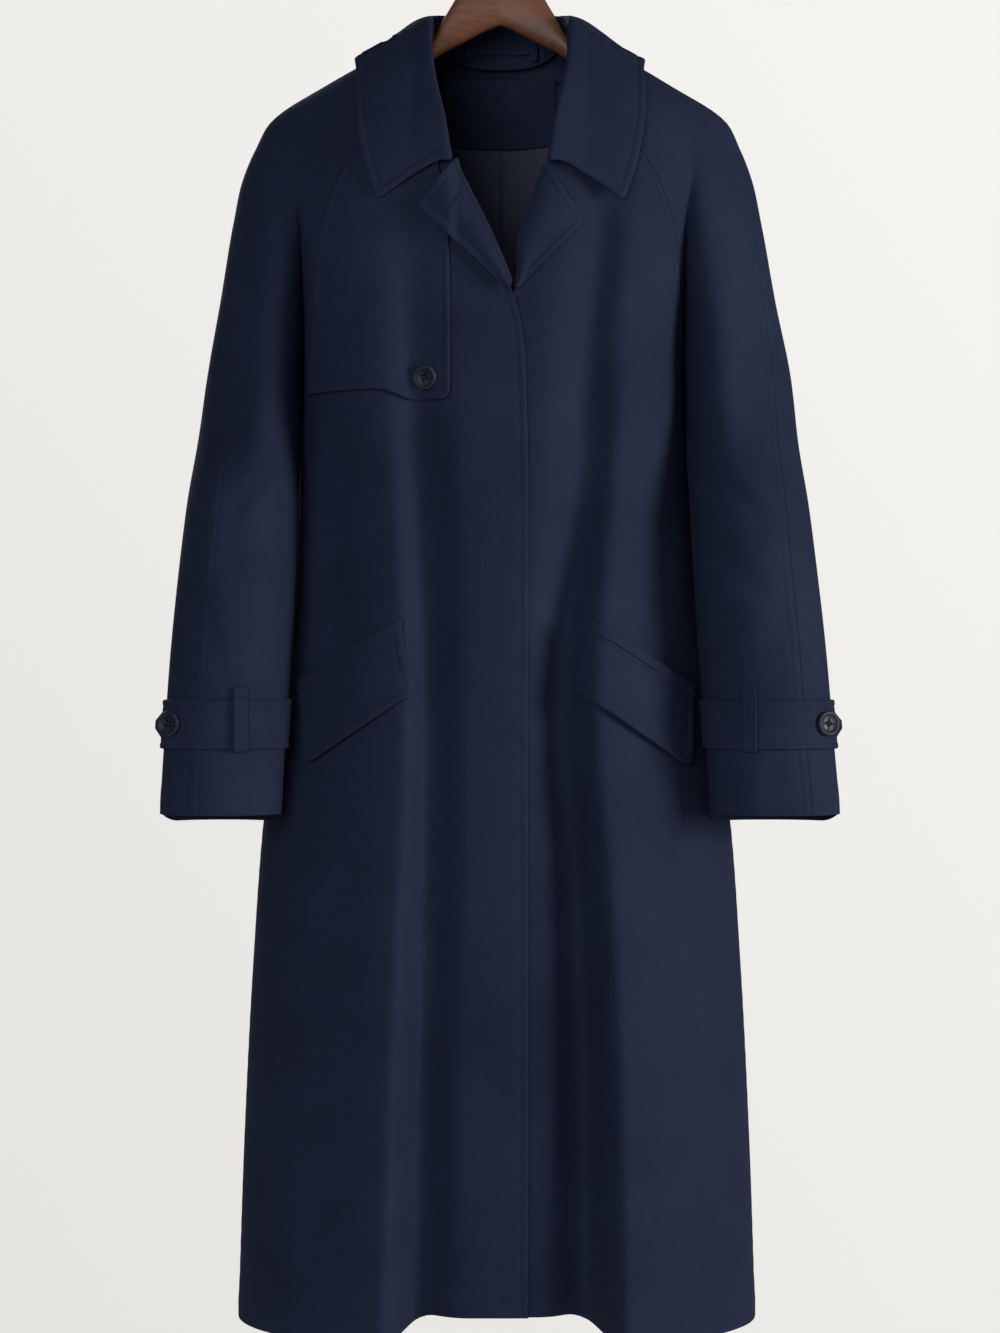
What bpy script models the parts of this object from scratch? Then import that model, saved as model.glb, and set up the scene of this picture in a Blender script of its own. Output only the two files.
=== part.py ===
"""Trench coat on a wooden hanger.

Metres, +Z up, the coat's front faces -Y and +X is the wearer's left side.
The origin is the top of the inside of the hook, where the rod bears.

The coat is worked out in level sections.  Above the underarm one section runs
sleeve, body, sleeve; below it there are three tubes: the body and two sleeves.
Each panel is a grid of rows at set heights, turned into a thin closed wall.
"""

import math

import bmesh
import bpy
import numpy as np
from mathutils import Vector

# ---------------------------------------------------------------- driving sizes
CLOTH = 0.0016          # one layer of the coat, shell and lining together
DOUBLE = 0.0024         # collar, lapels, flaps and straps, made double
SEAM_GAP = 0.0003       # between two pieces at a seam
LAY_GAP = 0.0008        # between a piece and the facets it lies on

NECK_Z = -0.121         # top of the shoulder at the neck, beside the collar
UNDERARM_Z = -0.452
CUFF_Z = -0.856
HEM_Z = -1.333
BREAK_Z = -0.378        # where the lapels start to roll

RIGHT, LEFT = -1, 1     # the wearer's sides, which are the signs of x

# Body and sleeves at each height.  outer: half width over both sleeves; inner:
# the crease between sleeve and body, then the sleeve's own inner edge; side:
# the body's half width; each for the wearer's right and left.  depth_f and
# depth_b: how far front and back stand from the side seams, which are at side_y.
SECTION_COLUMNS = ("z", "outer_r", "outer_l", "inner_r", "inner_l", "side_r", "side_l",
                   "depth_f", "depth_b", "side_y")
SECTIONS = np.array([
    (-0.121, 0.071, 0.070, 0.190, 0.184, 0.190, 0.184, 0.044, 0.060, 0.004),
    (-0.137, 0.101, 0.099, 0.190, 0.184, 0.190, 0.184, 0.052, 0.064, 0.003),
    (-0.156, 0.136, 0.133, 0.190, 0.184, 0.190, 0.184, 0.062, 0.068, 0.002),
    (-0.175, 0.169, 0.165, 0.190, 0.184, 0.190, 0.184, 0.072, 0.072, 0.002),
    (-0.204, 0.214, 0.211, 0.190, 0.184, 0.190, 0.184, 0.082, 0.077, 0.002),
    (-0.232, 0.231, 0.227, 0.190, 0.182, 0.190, 0.182, 0.089, 0.082, 0.002),
    (-0.260, 0.243, 0.238, 0.188, 0.179, 0.188, 0.179, 0.096, 0.087, 0.003),
    (-0.300, 0.252, 0.247, 0.186, 0.175, 0.186, 0.175, 0.102, 0.091, 0.005),
    (-0.374, 0.265, 0.261, 0.185, 0.174, 0.185, 0.174, 0.111, 0.095, 0.010),
    (-0.452, 0.279, 0.277, 0.186, 0.175, 0.186, 0.175, 0.117, 0.096, 0.015),
    (-0.520, 0.287, 0.283, 0.188, 0.176, 0.189, 0.178, 0.120, 0.097, 0.021),
    (-0.600, 0.296, 0.292, 0.189, 0.179, 0.196, 0.186, 0.124, 0.100, 0.025),
    (-0.700, 0.305, 0.302, 0.193, 0.184, 0.206, 0.198, 0.129, 0.106, 0.028),
    (-0.780, 0.310, 0.308, 0.198, 0.190, 0.215, 0.208, 0.133, 0.111, 0.029),
    (-0.856, 0.314, 0.314, 0.202, 0.194, 0.224, 0.218, 0.137, 0.116, 0.026),
    (-1.000, 0.314, 0.314, 0.202, 0.194, 0.234, 0.228, 0.141, 0.124, 0.016),
    (-1.169, 0.314, 0.314, 0.202, 0.194, 0.242, 0.236, 0.143, 0.130, 0.010),
    (-1.333, 0.314, 0.314, 0.202, 0.194, 0.247, 0.241, 0.144, 0.134, 0.004),
])
# The sleeve tube below the underarm: where its middle lies in y, its half
# depth, and how far the overarm seam sits inside its outer edge.
SLEEVE_COLUMNS = ("z", "mid_y", "half_depth", "overarm")
SLEEVES = np.array([
    (-0.200, 0.015, 0.080, 0.002),
    (-0.300, 0.015, 0.080, 0.010),
    (-0.452, 0.015, 0.080, 0.021),
    (-0.500, -0.004, 0.075, 0.024),
    (-0.560, -0.022, 0.070, 0.027),
    (-0.640, -0.037, 0.063, 0.029),
    (-0.740, -0.051, 0.054, 0.030),
    (-0.856, -0.058, 0.046, 0.030),
])
# The raglan seam on the front and on the back, from the neck to the underarm.
RAGLAN_COLUMNS = ("z", "front", "back")
RAGLAN = np.array([
    (-0.121, 0.0660, 0.0660),
    (-0.140, 0.0685, 0.0520),
    (-0.150, 0.0690, 0.0620),
    (-0.190, 0.0700, 0.0950),
    (-0.217, 0.100, 0.115),
    (-0.245, 0.131, 0.135),
    (-0.287, 0.157, 0.158),
    (-0.339, 0.172, 0.174),
    (-0.393, 0.180, 0.181),
    (-0.452, 0.186, 0.186),
])
# The free edge of each front: the neckline, the roll line, then the front edge.
FRONT_EDGE_COLUMNS = ("z", "right", "left")
FRONT_EDGES = np.array([
    (-0.190, -0.0660, 0.0660),
    (-0.215, -0.0600, 0.0600),
    (-0.258, -0.0436, 0.0437),
    (-0.332, -0.0082, 0.0180),
    (-0.378, 0.0110, 0.0118),
    (-0.400, 0.0180, -0.0060),
    (-0.430, 0.0225, -0.0200),
    (-0.480, 0.0245, -0.0240),
    (-0.800, 0.0258, -0.0250),
    (-1.333, 0.0262, -0.0250),
])


def column(table, names, name, z):
    """A named column of a table, read at height z with a smooth slope."""
    heights = -table[:, 0]
    values = table[:, names.index(name)]
    slopes = np.gradient(values, heights)
    depth = np.clip(-np.asarray(z, dtype=float), heights[0], heights[-1])
    i = np.clip(np.searchsorted(heights, depth, side="right") - 1, 0, len(heights) - 2)
    span = heights[i + 1] - heights[i]
    t = (depth - heights[i]) / span
    start = (1 + 2 * t) * (1 - t) ** 2 * values[i] + t * (1 - t) ** 2 * span * slopes[i]
    end = t * t * (3 - 2 * t) * values[i + 1] + t * t * (t - 1) * span * slopes[i + 1]
    return start + end


def section(name, z):
    return column(SECTIONS, SECTION_COLUMNS, name, z)


def side_of(name, sign):
    """The column's name for one side of the wearer."""
    return name + ("_r" if sign < 0 else "_l")


def smooth(t):
    t = np.clip(t, 0.0, 1.0)
    return t * t * (3.0 - 2.0 * t)


def bell(distance, width):
    return np.exp(-(distance / width) ** 2)


# ------------------------------------------------------------ folds of the front
# The middle of the front hangs back between two broad flutes.  left_crest ...
# right_crest: where the step down to it starts and ends; sunk: how far back;
# groove_r, groove_l: the extra valley along each step.
TRAY_COLUMNS = ("z", "right_crest", "right_foot", "left_foot", "left_crest",
                "sunk", "groove_r", "groove_l")
TRAY = np.array([
    (-0.260, -0.110, -0.085, 0.096, 0.125, 0.000, 0.000, 0.000),
    (-0.310, -0.108, -0.085, 0.095, 0.124, 0.001, 0.002, 0.010),
    (-0.420, -0.103, -0.083, 0.086, 0.118, 0.004, 0.005, 0.013),
    (-0.545, -0.099, -0.072, 0.079, 0.113, 0.010, 0.010, 0.014),
    (-0.680, -0.090, -0.065, 0.062, 0.098, 0.018, 0.012, 0.018),
    (-0.780, -0.086, -0.064, 0.058, 0.092, 0.024, 0.011, 0.018),
    (-0.900, -0.091, -0.066, 0.068, 0.102, 0.032, 0.011, 0.016),
    (-1.050, -0.098, -0.068, 0.075, 0.110, 0.040, 0.012, 0.016),
    (-1.333, -0.108, -0.074, 0.079, 0.116, 0.054, 0.012, 0.016),
])


def tray(name, z):
    return column(TRAY, TRAY_COLUMNS, name, z)


def front_relief(x, z):
    """How far the folds hold the front back from its plain section."""
    fall_r = smooth((x - tray("right_crest", z)) / (tray("right_foot", z) - tray("right_crest", z)))
    fall_l = smooth((tray("left_crest", z) - x) / (tray("left_crest", z) - tray("left_foot", z)))
    sunk = tray("sunk", z) * fall_r * fall_l
    grooves = (tray("groove_r", z) * bell(x - tray("right_foot", z) - 0.004, 0.019)
               + tray("groove_l", z) * bell(x - tray("left_foot", z) + 0.004, 0.021))
    beside_sleeve = 0.011 * bell(x + 0.152, 0.019) * bell(z + 0.610, 0.110)
    return sunk + grooves + beside_sleeve


def back_relief(x, z):
    """The back's own shallow flutes, deeper towards the hem."""
    drop = smooth((-0.30 - z) / 1.0)
    return drop * (0.022 * bell(x + 0.075, 0.032) + 0.026 * bell(x - 0.060, 0.036)
                   + 0.012 * bell(x - 0.165, 0.025) + 0.012 * bell(x + 0.170, 0.025))


# -------------------------------------------------------------- level sections
def ellipse(t, power=2.2, root=1.9):
    return (1.0 - np.clip(np.abs(t), 0.0, 1.0) ** power) ** (1.0 / root)


CREASE_TOP_Z = -0.225


def crease(z):
    """0 where sleeve and body are one surface, 1 where they part."""
    return smooth((CREASE_TOP_Z - z) / (CREASE_TOP_Z - UNDERARM_Z))


def joined(x, z, face):
    """Depth of the one surface over body and sleeve, above the underarm."""
    sign = np.where(x < 0, RIGHT, LEFT)
    outer = np.where(sign < 0, section("outer_r", z), section("outer_l", z))
    inner = np.where(sign < 0, section("inner_r", z), section("inner_l", z))
    reach = np.abs(x)
    depth = section(face, z) * ellipse(reach / outer)
    width = np.where(reach < inner, 0.080, 0.045)
    beside = ellipse(np.maximum(0.0, 1.0 - np.abs(reach - inner) / width))
    return depth * (1.0 - crease(z) * (1.0 - beside))


MORPH = 0.12            # height over which the joined section turns into tubes


def body_depth(x, z, face):
    """Depth of the body's front or back away from the side seams."""
    sign = np.where(x < 0, RIGHT, LEFT)
    side = np.where(sign < 0, section("side_r", z), section("side_l", z))
    side_top = np.where(sign < 0, section("side_r", UNDERARM_Z), section("side_l", UNDERARM_Z))
    above = joined(x, np.maximum(z, UNDERARM_Z), face)
    pinched = joined(x * side_top / side, UNDERARM_Z, face)
    tube = section(face, z) * ellipse(x / side)
    share = smooth((UNDERARM_Z - z) / MORPH)
    return np.where(z >= UNDERARM_Z, above, pinched * (1.0 - share) + tube * share)


def off_side(x, z):
    """0 at the side seams and 1 a little way in, so that both faces meet there."""
    side = np.where(x < 0, section("side_r", z), section("side_l", z))
    return np.where(z >= UNDERARM_Z, 1.0, smooth((side - np.abs(x)) / 0.030))


def front_y(x, z):
    x, z = np.broadcast_arrays(np.asarray(x, dtype=float), np.asarray(z, dtype=float))
    relief = front_relief(x, z) * off_side(x, z)
    return section("side_y", z) - body_depth(x, z, "depth_f") + relief


def back_y(x, z):
    x, z = np.broadcast_arrays(np.asarray(x, dtype=float), np.asarray(z, dtype=float))
    relief = back_relief(x, z) * off_side(x, z)
    return section("side_y", z) + body_depth(x, z, "depth_b") - relief


def sleeve_y(x, z, sign, face):
    """The sleeve's front or back, over both the yoke and the free tube."""
    turn = -1.0 if face == "depth_f" else 1.0
    if z >= UNDERARM_Z:
        relief = front_relief(x, z) if face == "depth_f" else -back_relief(x, z)
        return section("side_y", z) + turn * joined(x, z, face) + relief
    inner = section(side_of("inner", sign), z)
    outer = section(side_of("outer", sign), z)
    inner_top = section(side_of("inner", sign), UNDERARM_Z)
    outer_top = section(side_of("outer", sign), UNDERARM_Z)
    t = (np.abs(x) - inner) / (outer - inner)
    pinched = joined(sign * (inner_top + t * (outer_top - inner_top)), UNDERARM_Z, face)
    pinched = section("side_y", UNDERARM_Z) + turn * pinched
    tube = sleeve("half_depth", z) * ellipse(2.0 * t - 1.0, 2.1, 2.0)
    tube = sleeve("mid_y", z) + turn * tube
    share = smooth((UNDERARM_Z - z) / MORPH)
    return pinched * (1.0 - share) + tube * share


def sleeve(name, z):
    return column(SLEEVES, SLEEVE_COLUMNS, name, z)


def raglan(name, sign, z):
    """x of the raglan seam; it ends in the crease, which differs side to side."""
    at_underarm = section(side_of("inner", sign), UNDERARM_Z) / RAGLAN[-1, 1]
    share = smooth((NECK_Z - z) / (NECK_Z - UNDERARM_Z))
    return sign * column(RAGLAN, RAGLAN_COLUMNS, name, z) * (1.0 + share * (at_underarm - 1.0))


# ------------------------------------------------------------------- grids
SHOULDER_ROWS = (-0.127, -0.140, -0.155, -0.174, -0.194, -0.212, -0.234, -0.262, -0.300,
                 -0.340, -0.380, -0.418, UNDERARM_Z)
SLEEVE_ROWS = tuple(np.linspace(UNDERARM_Z, CUFF_Z, 10)[1:])
SKIRT_ROWS = tuple(np.linspace(CUFF_Z, HEM_Z, 8)[1:])


def rows_down(top, bottom):
    """The heights all the panels share, so that their seams match."""
    heights = SHOULDER_ROWS + SLEEVE_ROWS + SKIRT_ROWS
    return [z for z in heights if bottom - 1e-6 <= z <= top + 1e-6]


def spread(inner, outer, z, count):
    """x along a row: even above the crease, closer together where it turns."""
    u = np.linspace(0.0, 1.0, count)
    return inner + (outer - inner) * (u + (np.sin(u * math.pi / 2) - u) * 0.8 * crease(z))


FRONT_TOP_Z = -0.194
LAP = 0.0022            # the right front stands this far out over the left one
UNDERLAP = 0.0030       # and the left one this far in
HEM_LIFT = 0.011        # the middle of the hem hangs a little higher
LIFT_TOP_Z = -1.100


FRONT_COLUMNS = 12
BACK_HALF_COLUMNS = 7
BACK_TOP_Z = -0.155
NECK_RISE = 0.006       # the back's top edge rises to the collar in the middle


def front_grid(sign):
    name = "right" if sign < 0 else "left"
    rows = []
    for z in rows_down(FRONT_TOP_Z, HEM_Z):
        free = column(FRONT_EDGES, FRONT_EDGE_COLUMNS, name, z)
        seam = raglan("front", sign, z) if z >= UNDERARM_Z else sign * section(side_of("side", sign), z)
        x = spread(free, seam, z, FRONT_COLUMNS)
        shift = -LAP * smooth((x + 0.075) / 0.05) if sign < 0 else UNDERLAP * smooth((0.045 - x) / 0.04)
        low = HEM_LIFT * smooth((0.11 - np.abs(x)) / 0.05) * smooth((LIFT_TOP_Z - z) / (LIFT_TOP_Z - HEM_Z))
        rows.append(np.stack([x, front_y(x, z) + shift, z + low], axis=1))
    return np.array(rows)


def back_grid():
    rows = []
    for z in rows_down(BACK_TOP_Z, HEM_Z):
        if z >= UNDERARM_Z:
            ends = raglan("back", RIGHT, z), raglan("back", LEFT, z)
        else:
            ends = -section("side_r", z), section("side_l", z)
        x = np.concatenate([spread(0.0, ends[0], z, BACK_HALF_COLUMNS)[::-1],
                            spread(0.0, ends[1], z, BACK_HALF_COLUMNS)[1:]])
        neck = NECK_RISE * bell(x, 0.040) if z == BACK_TOP_Z else 0.0 * x
        rows.append(np.stack([x, back_y(x, z), z + neck], axis=1))
    return np.array(rows)


def sleeve_ring(sign, z, count=81):
    """The sleeve's section from its inner end, round the front, to the back."""
    outer = section(side_of("outer", sign), z)
    if z >= UNDERARM_Z:
        starts = abs(raglan("front", sign, z)), abs(raglan("back", sign, z))
    else:
        starts = (section(side_of("inner", sign), z),) * 2
    u = np.linspace(0.0, 1.0, count)
    k = crease(z)
    turn = np.sin(u * math.pi / 2) * (1 - k) + (1 - np.cos(u * math.pi)) / 2 * k
    front_x = starts[0] + (outer - starts[0]) * turn
    rear_x = (starts[1] + (outer - starts[1]) * turn)[::-1]
    front = [(sign * x, sleeve_y(sign * x, z, sign, "depth_f")) for x in front_x]
    rear = [(sign * x, sleeve_y(sign * x, z, sign, "depth_b")) for x in rear_x[1:]]
    return np.array([(float(x), float(y)) for x, y in front + rear])


def along(points, start, end, count):
    """count points evenly spaced along a polyline between two of its lengths."""
    steps = np.linalg.norm(np.diff(points, axis=0), axis=1)
    length = np.concatenate([[0.0], np.cumsum(steps)])
    at = np.linspace(start(length), end(length), count)
    return np.stack([np.interp(at, length, points[:, i]) for i in range(points.shape[1])], axis=1)


SLEEVE_FRONT_COLUMNS, SLEEVE_BACK_COLUMNS = 7, 9
CUFF_DROP, CUFF_DROP_TOP_Z = 0.008, -0.800   # the cuff's back edge hangs lower


def sleeve_grids(sign):
    """Front and back halves, which meet at the overarm seam."""
    fronts, rears = [], []
    for z in rows_down(NECK_Z, CUFF_Z):
        ring = sleeve_ring(sign, z)
        half = len(ring) // 2
        reach = np.abs(ring[:half + 1, 0])
        seam_x = reach[-1] - sleeve("overarm", z)
        cut = float(np.interp(seam_x, reach, np.arange(half + 1)))
        index = np.arange(len(ring))

        def length_at(position):
            return lambda length: np.interp(position, index, length)

        front = along(ring, length_at(0), length_at(cut), SLEEVE_FRONT_COLUMNS)
        rear = along(ring, length_at(cut), length_at(len(ring) - 1), SLEEVE_BACK_COLUMNS)
        low = -CUFF_DROP * smooth((CUFF_DROP_TOP_Z - z) / (CUFF_DROP_TOP_Z - CUFF_Z))
        fronts.append(np.column_stack([front, np.full(len(front), z)]))
        rear_z = z + low * smooth((rear[:, 1] - sleeve("mid_y", z)) / 0.03)
        rears.append(np.column_stack([rear, rear_z]))
    return np.array(fronts), np.array(rears)


# ------------------------------------------------------------------- solids
def normals_of(grid):
    """Unit normals of a grid, columns crossed with rows."""
    across = np.gradient(grid, axis=1)
    down = np.gradient(grid, axis=0)
    normal = np.cross(across, down)
    return normal / np.maximum(np.linalg.norm(normal, axis=2, keepdims=True), 1e-9)


def shared_normals(grids, away):
    """Normals that agree where panels meet at a seam."""
    normals = {name: faced(grid, away[name]) for name, grid in grids.items()}
    sums = {}

    def place(name, point):
        """Points in one place share a normal, but body and sleeves part below."""
        tube = name.split("_")[0] if point[2] < UNDERARM_Z + 1e-6 else ""
        return (tube == "sleeve", *np.round(point, 5))

    for name, grid in grids.items():
        for point, normal in zip(grid.reshape(-1, 3), normals[name].reshape(-1, 3)):
            key = place(name, point)
            sums[key] = sums.get(key, 0.0) + normal
    for name, grid in grids.items():
        flat = np.array([sums[place(name, point)] for point in grid.reshape(-1, 3)])
        length = np.maximum(np.linalg.norm(flat, axis=1, keepdims=True), 1e-9)
        normals[name] = (flat / length).reshape(grid.shape)
    return normals


def pulled_in(grid):
    """The grid with its side edges drawn in, to leave the gap at each seam.

    The gap is wider just round the underarm, where four panels meet."""
    out = grid.copy()
    gap = SEAM_GAP * 0.7 + 0.0010 * bell(grid[:, :1, 2] - (UNDERARM_Z + 0.008), 0.045)
    for edge, inside in ((0, 1), (-1, -2)):
        step = grid[:, inside] - grid[:, edge]
        length = np.maximum(np.linalg.norm(step, axis=1, keepdims=True), 1e-6)
        out[:, edge] = grid[:, edge] + step / length * gap
    return out


def plain_material(name, colour, roughness=0.85, metallic=0.0):
    material = bpy.data.materials.new(name)
    material.use_nodes = True
    shader = material.node_tree.nodes["Principled BSDF"]
    shader.inputs["Base Color"].default_value = (*colour, 1.0)
    shader.inputs["Roughness"].default_value = roughness
    shader.inputs["Metallic"].default_value = metallic
    return material


def add_mesh(name, points, faces, material):
    mesh = bpy.data.meshes.new(name)
    mesh.from_pydata([tuple(map(float, point)) for point in points], [], faces)
    mesh.materials.append(material)
    fix = bmesh.new()
    fix.from_mesh(mesh)
    bmesh.ops.recalc_face_normals(fix, faces=fix.faces)
    fix.to_mesh(mesh)
    fix.free()
    piece = bpy.data.objects.new(name, mesh)
    bpy.context.scene.collection.objects.link(piece)
    return piece


def wall(name, grid, normals, thickness, material):
    """A closed wall: the grid, its copy set back along the normals, and rims."""
    rows, columns = grid.shape[:2]
    inner = grid - normals * thickness
    points = np.concatenate([grid.reshape(-1, 3), inner.reshape(-1, 3)])
    shift = rows * columns
    faces = []
    for i in range(rows - 1):
        for j in range(columns - 1):
            a = i * columns + j
            b = a + 1
            faces.append((a, b, b + columns, a + columns))
            faces.append((a + shift + columns, b + shift + columns, b + shift, a + shift))
    top_row = range(columns)
    right_column = range(columns - 1, shift, columns)
    low_row = range(shift - 1, shift - columns - 1, -1)
    left_column = range(shift - columns, -1, -columns)
    for rim in (top_row, right_column, low_row, left_column):
        for a, b in zip(rim, rim[1:]):
            faces.append((a, a + shift, b + shift, b))
    return add_mesh(name, points, faces, material)


def faced(grid, away):
    """Normals of a grid, turned to point the way that away points."""
    normals = normals_of(grid)
    if float(np.sum(normals.mean(axis=(0, 1)) * np.array(away))) < 0:
        normals = -normals
    return normals


def facet_y(x, z):
    """y of the fronts' own faceted surface."""
    x, z = np.broadcast_arrays(np.asarray(x, dtype=float), np.asarray(z, dtype=float))
    out = np.empty(x.shape)
    for at in np.ndindex(x.shape):
        grid = shell["front_right" if x[at] < 0 else "front_left"]
        heights = -grid[:, -1, 2]
        i = int(np.clip(np.searchsorted(heights, -z[at]) - 1, 0, len(heights) - 2))
        t = np.clip((-z[at] - heights[i]) / (heights[i + 1] - heights[i]), 0.0, 1.0)
        y = []
        for row in (grid[i], grid[i + 1]):
            order = np.argsort(row[:, 0])
            y.append(np.interp(x[at], row[order, 0], row[order, 1]))
        out[at] = y[0] * (1 - t) + y[1] * t
    return out


def on_front(x, z, out):
    """A point on the fronts' facets, moved out from them square to the surface."""
    step = 0.006
    slope_x = (facet_y(x + step, z) - facet_y(x - step, z)) / (2 * step)
    slope_z = (facet_y(x, z + step) - facet_y(x, z - step)) / (2 * step)
    length = np.sqrt(1.0 + slope_x ** 2 + slope_z ** 2)
    move = out / length
    return np.stack([x + slope_x * move, facet_y(x, z) - move, z + slope_z * move], axis=-1)


# ------------------------------------------------------------------- the model
for old in list(bpy.data.objects):
    bpy.data.objects.remove(old, do_unlink=True)

NAVY = (0.022, 0.029, 0.055)
gabardine = plain_material("gabardine", NAVY)
satin = plain_material("lining satin", (0.017, 0.015, 0.022), 0.45)
horn = plain_material("button resin", (0.060, 0.066, 0.085), 0.25)
walnut = plain_material("hanger wood", (0.14, 0.055, 0.03), 0.35)
steel = plain_material("hanger steel", (0.62, 0.62, 0.63), 0.25, 1.0)
NAMES = {RIGHT: "right", LEFT: "left"}

# The shell: two fronts, the back and four sleeve halves.
shell, away = {}, {}
for sign, side in NAMES.items():
    shell["front_" + side], away["front_" + side] = front_grid(sign), (0, -1, 0)
    forward, rear = sleeve_grids(sign)
    shell["sleeve_front_" + side], away["sleeve_front_" + side] = forward, (0, -1, 0)
    shell["sleeve_back_" + side], away["sleeve_back_" + side] = rear, (sign, 1, 0)
shell["back"], away["back"] = back_grid(), (0, 1, 0)
shell_normals = shared_normals(shell, away)
for name, grid in shell.items():
    wall(name, pulled_in(grid), shell_normals[name], CLOTH, gabardine)


def laid_piece(name, x, z, out, thickness=DOUBLE, material=gabardine):
    """A piece lying on the front: x, z and the height of its outer face."""
    grid = on_front(x, z, out)
    return wall(name, grid, faced(grid, (0, -1, 0)), thickness, material)


# Gun flap: sewn into the raglan seam, its lower edge dips towards the button.
GUN_TOP_Z, GUN_LOW_Z, GUN_DIP = -0.236, -0.4665, 0.009
GUN_EDGE_X = -0.0475
GUN_HEIGHT = 0.0017 + DOUBLE      # its outer face above the facets it lies on
GUN_COLUMNS = 15
gun_levels = [GUN_TOP_Z] + [z for z in SHOULDER_ROWS if z < GUN_TOP_Z - 0.005] + [GUN_LOW_Z]
gun_x, gun_z = [], []
for level in gun_levels:
    t = (GUN_TOP_Z - level) / (GUN_TOP_Z - GUN_LOW_Z)
    seam_x = raglan("front", RIGHT, max(level, UNDERARM_Z)) + 0.003 + 0.006 * smooth(t)
    edge_x = GUN_EDGE_X + 0.003 * smooth(t * 1.2) - 0.010 * smooth((level + 0.300) / 0.05)
    row_x = np.linspace(edge_x, seam_x, GUN_COLUMNS)
    if level == GUN_LOW_Z:
        row_x[0] -= 0.006
    dip = GUN_DIP * smooth((row_x + 0.112) / 0.030) * smooth((t - 0.5) * 2)
    gun_x.append(row_x)
    gun_z.append(level - dip)
gun_x, gun_z = np.array(gun_x), np.array(gun_z)
laid_piece("gun_flap", gun_x, gun_z, GUN_HEIGHT)

# Pocket flaps and the narrow welts above them, slanting down to the side seams.
FLAPS = {       # inner top, inner low, outer low, outer top corners as (x, z)
    RIGHT: ((-0.0900, -0.6840), (-0.0770, -0.7420), (-0.1780, -0.8130), (-0.1840, -0.7430)),
    LEFT: ((0.0820, -0.6840), (0.0675, -0.7400), (0.1745, -0.8160), (0.1770, -0.7460)),
}
WELT_HEIGHT = 0.0085
FLAP_GAP = 0.0034       # flaps hang a little off the facets below
FLAP_COLUMNS, FLAP_ROWS = 17, 5
for sign, side in NAMES.items():
    corners = np.array(FLAPS[sign])
    u = np.linspace(0, 1, FLAP_COLUMNS)[None, :, None]
    v = np.linspace(0, 1, FLAP_ROWS)[:, None, None]
    top = corners[0] * (1 - u) + corners[3] * u
    low = corners[1] * (1 - u) + corners[2] * u
    flap = top * (1 - v) + low * v
    laid_piece("pocket_flap_" + side, flap[..., 0], flap[..., 1], FLAP_GAP + DOUBLE)
    welt_low = top[0] + np.array([0.0, 0.0010])
    welt_top = top[0] + np.array([0.0, WELT_HEIGHT])
    welt = np.stack([welt_top, welt_low])
    laid_piece("pocket_welt_" + side, welt[..., 0], welt[..., 1], FLAP_GAP + CLOTH, CLOTH)

# Lapels: the turned-back tops of the fronts, from the roll line outwards.
LAPEL_CORNER = {RIGHT: (-0.0744, -0.3011), LEFT: (0.0755, -0.3140)}
for sign, side in NAMES.items():
    corner = np.array(LAPEL_CORNER[sign])
    v = np.linspace(0.0, 0.96, 7)
    roll_z = -0.262 + (BREAK_Z + 0.262) * v
    roll_x = np.array([column(FRONT_EDGES, FRONT_EDGE_COLUMNS, side, z) for z in roll_z])
    tip = np.array([0.0100, BREAK_Z - 0.004]) if sign < 0 else np.array([0.0150, BREAK_Z])
    free = corner * (1 - v[:, None]) + tip * v[:, None]
    u = np.linspace(0, 1, 5)[None, :]
    x = roll_x[:, None] * (1 - u) + free[:, 0][:, None] * u
    z = roll_z[:, None] * (1 - u) + free[:, 1][:, None] * u
    puff = 0.0045 * np.sin(np.pi * np.minimum(u * 1.3, 1.0)) * (1 - 0.6 * v[:, None])
    extra = 0.0044 + GUN_HEIGHT * smooth((-x - 0.036) / 0.010) if sign < 0 else 0.0003
    laid_piece("lapel_" + side, x, z, LAY_GAP + DOUBLE + puff + extra)

# Collar: a stand that rises from the neckline and a fall that turns down over it.
# Stations run from the front end to the middle of the back.
COLLAR_COLUMNS = ("neck_x", "neck_y", "neck_z", "fold_x", "fold_y", "fold_z",
                  "edge_x", "edge_y", "edge_z")
COLLAR = np.array([
    (0.0470, -0.0890, -0.2460, 0.0445, -0.1020, -0.2490, 0.1130, -0.0900, -0.2840),
    (0.0560, -0.0810, -0.2200, 0.0485, -0.0960, -0.2180, 0.1220, -0.0830, -0.2640),
    (0.0630, -0.0680, -0.1900, 0.0560, -0.0830, -0.1850, 0.1290, -0.0700, -0.2320),
    (0.0665, -0.0470, -0.1560, 0.0615, -0.0600, -0.1500, 0.1325, -0.0480, -0.1950),
    (0.0655, -0.0180, -0.1290, 0.0620, -0.0290, -0.1190, 0.1345, -0.0200, -0.1610),
    (0.0640, 0.0180, -0.1186, 0.0600, 0.0150, -0.1040, 0.1345, 0.0180, -0.1510),
    (0.0510, 0.0500, -0.1330, 0.0490, 0.0400, -0.0970, 0.1080, 0.0560, -0.1680),
    (0.0280, 0.0610, -0.1420, 0.0260, 0.0550, -0.0940, 0.0560, 0.0760, -0.1770),
    (0.0000, 0.0640, -0.1435, 0.0000, 0.0600, -0.0930, 0.0000, 0.0800, -0.1800),
])


def collar_curve(first):
    """One of the collar's three lines, all round from right front to left."""
    half = COLLAR[:, first:first + 3]
    mirrored = half[:-1][::-1]
    return np.concatenate([half * (-1, 1, 1), mirrored])


def mid_points(curve):
    """The curve with a point added between each two, on a smooth path."""
    padded = np.concatenate([curve[:1], curve, curve[-1:]])
    between = (-padded[:-3] + 9 * padded[1:-2] + 9 * padded[2:-1] - padded[3:]) / 16
    out = np.empty((2 * len(curve) - 1, 3))
    out[0::2] = curve
    out[1::2] = between
    return out


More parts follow.
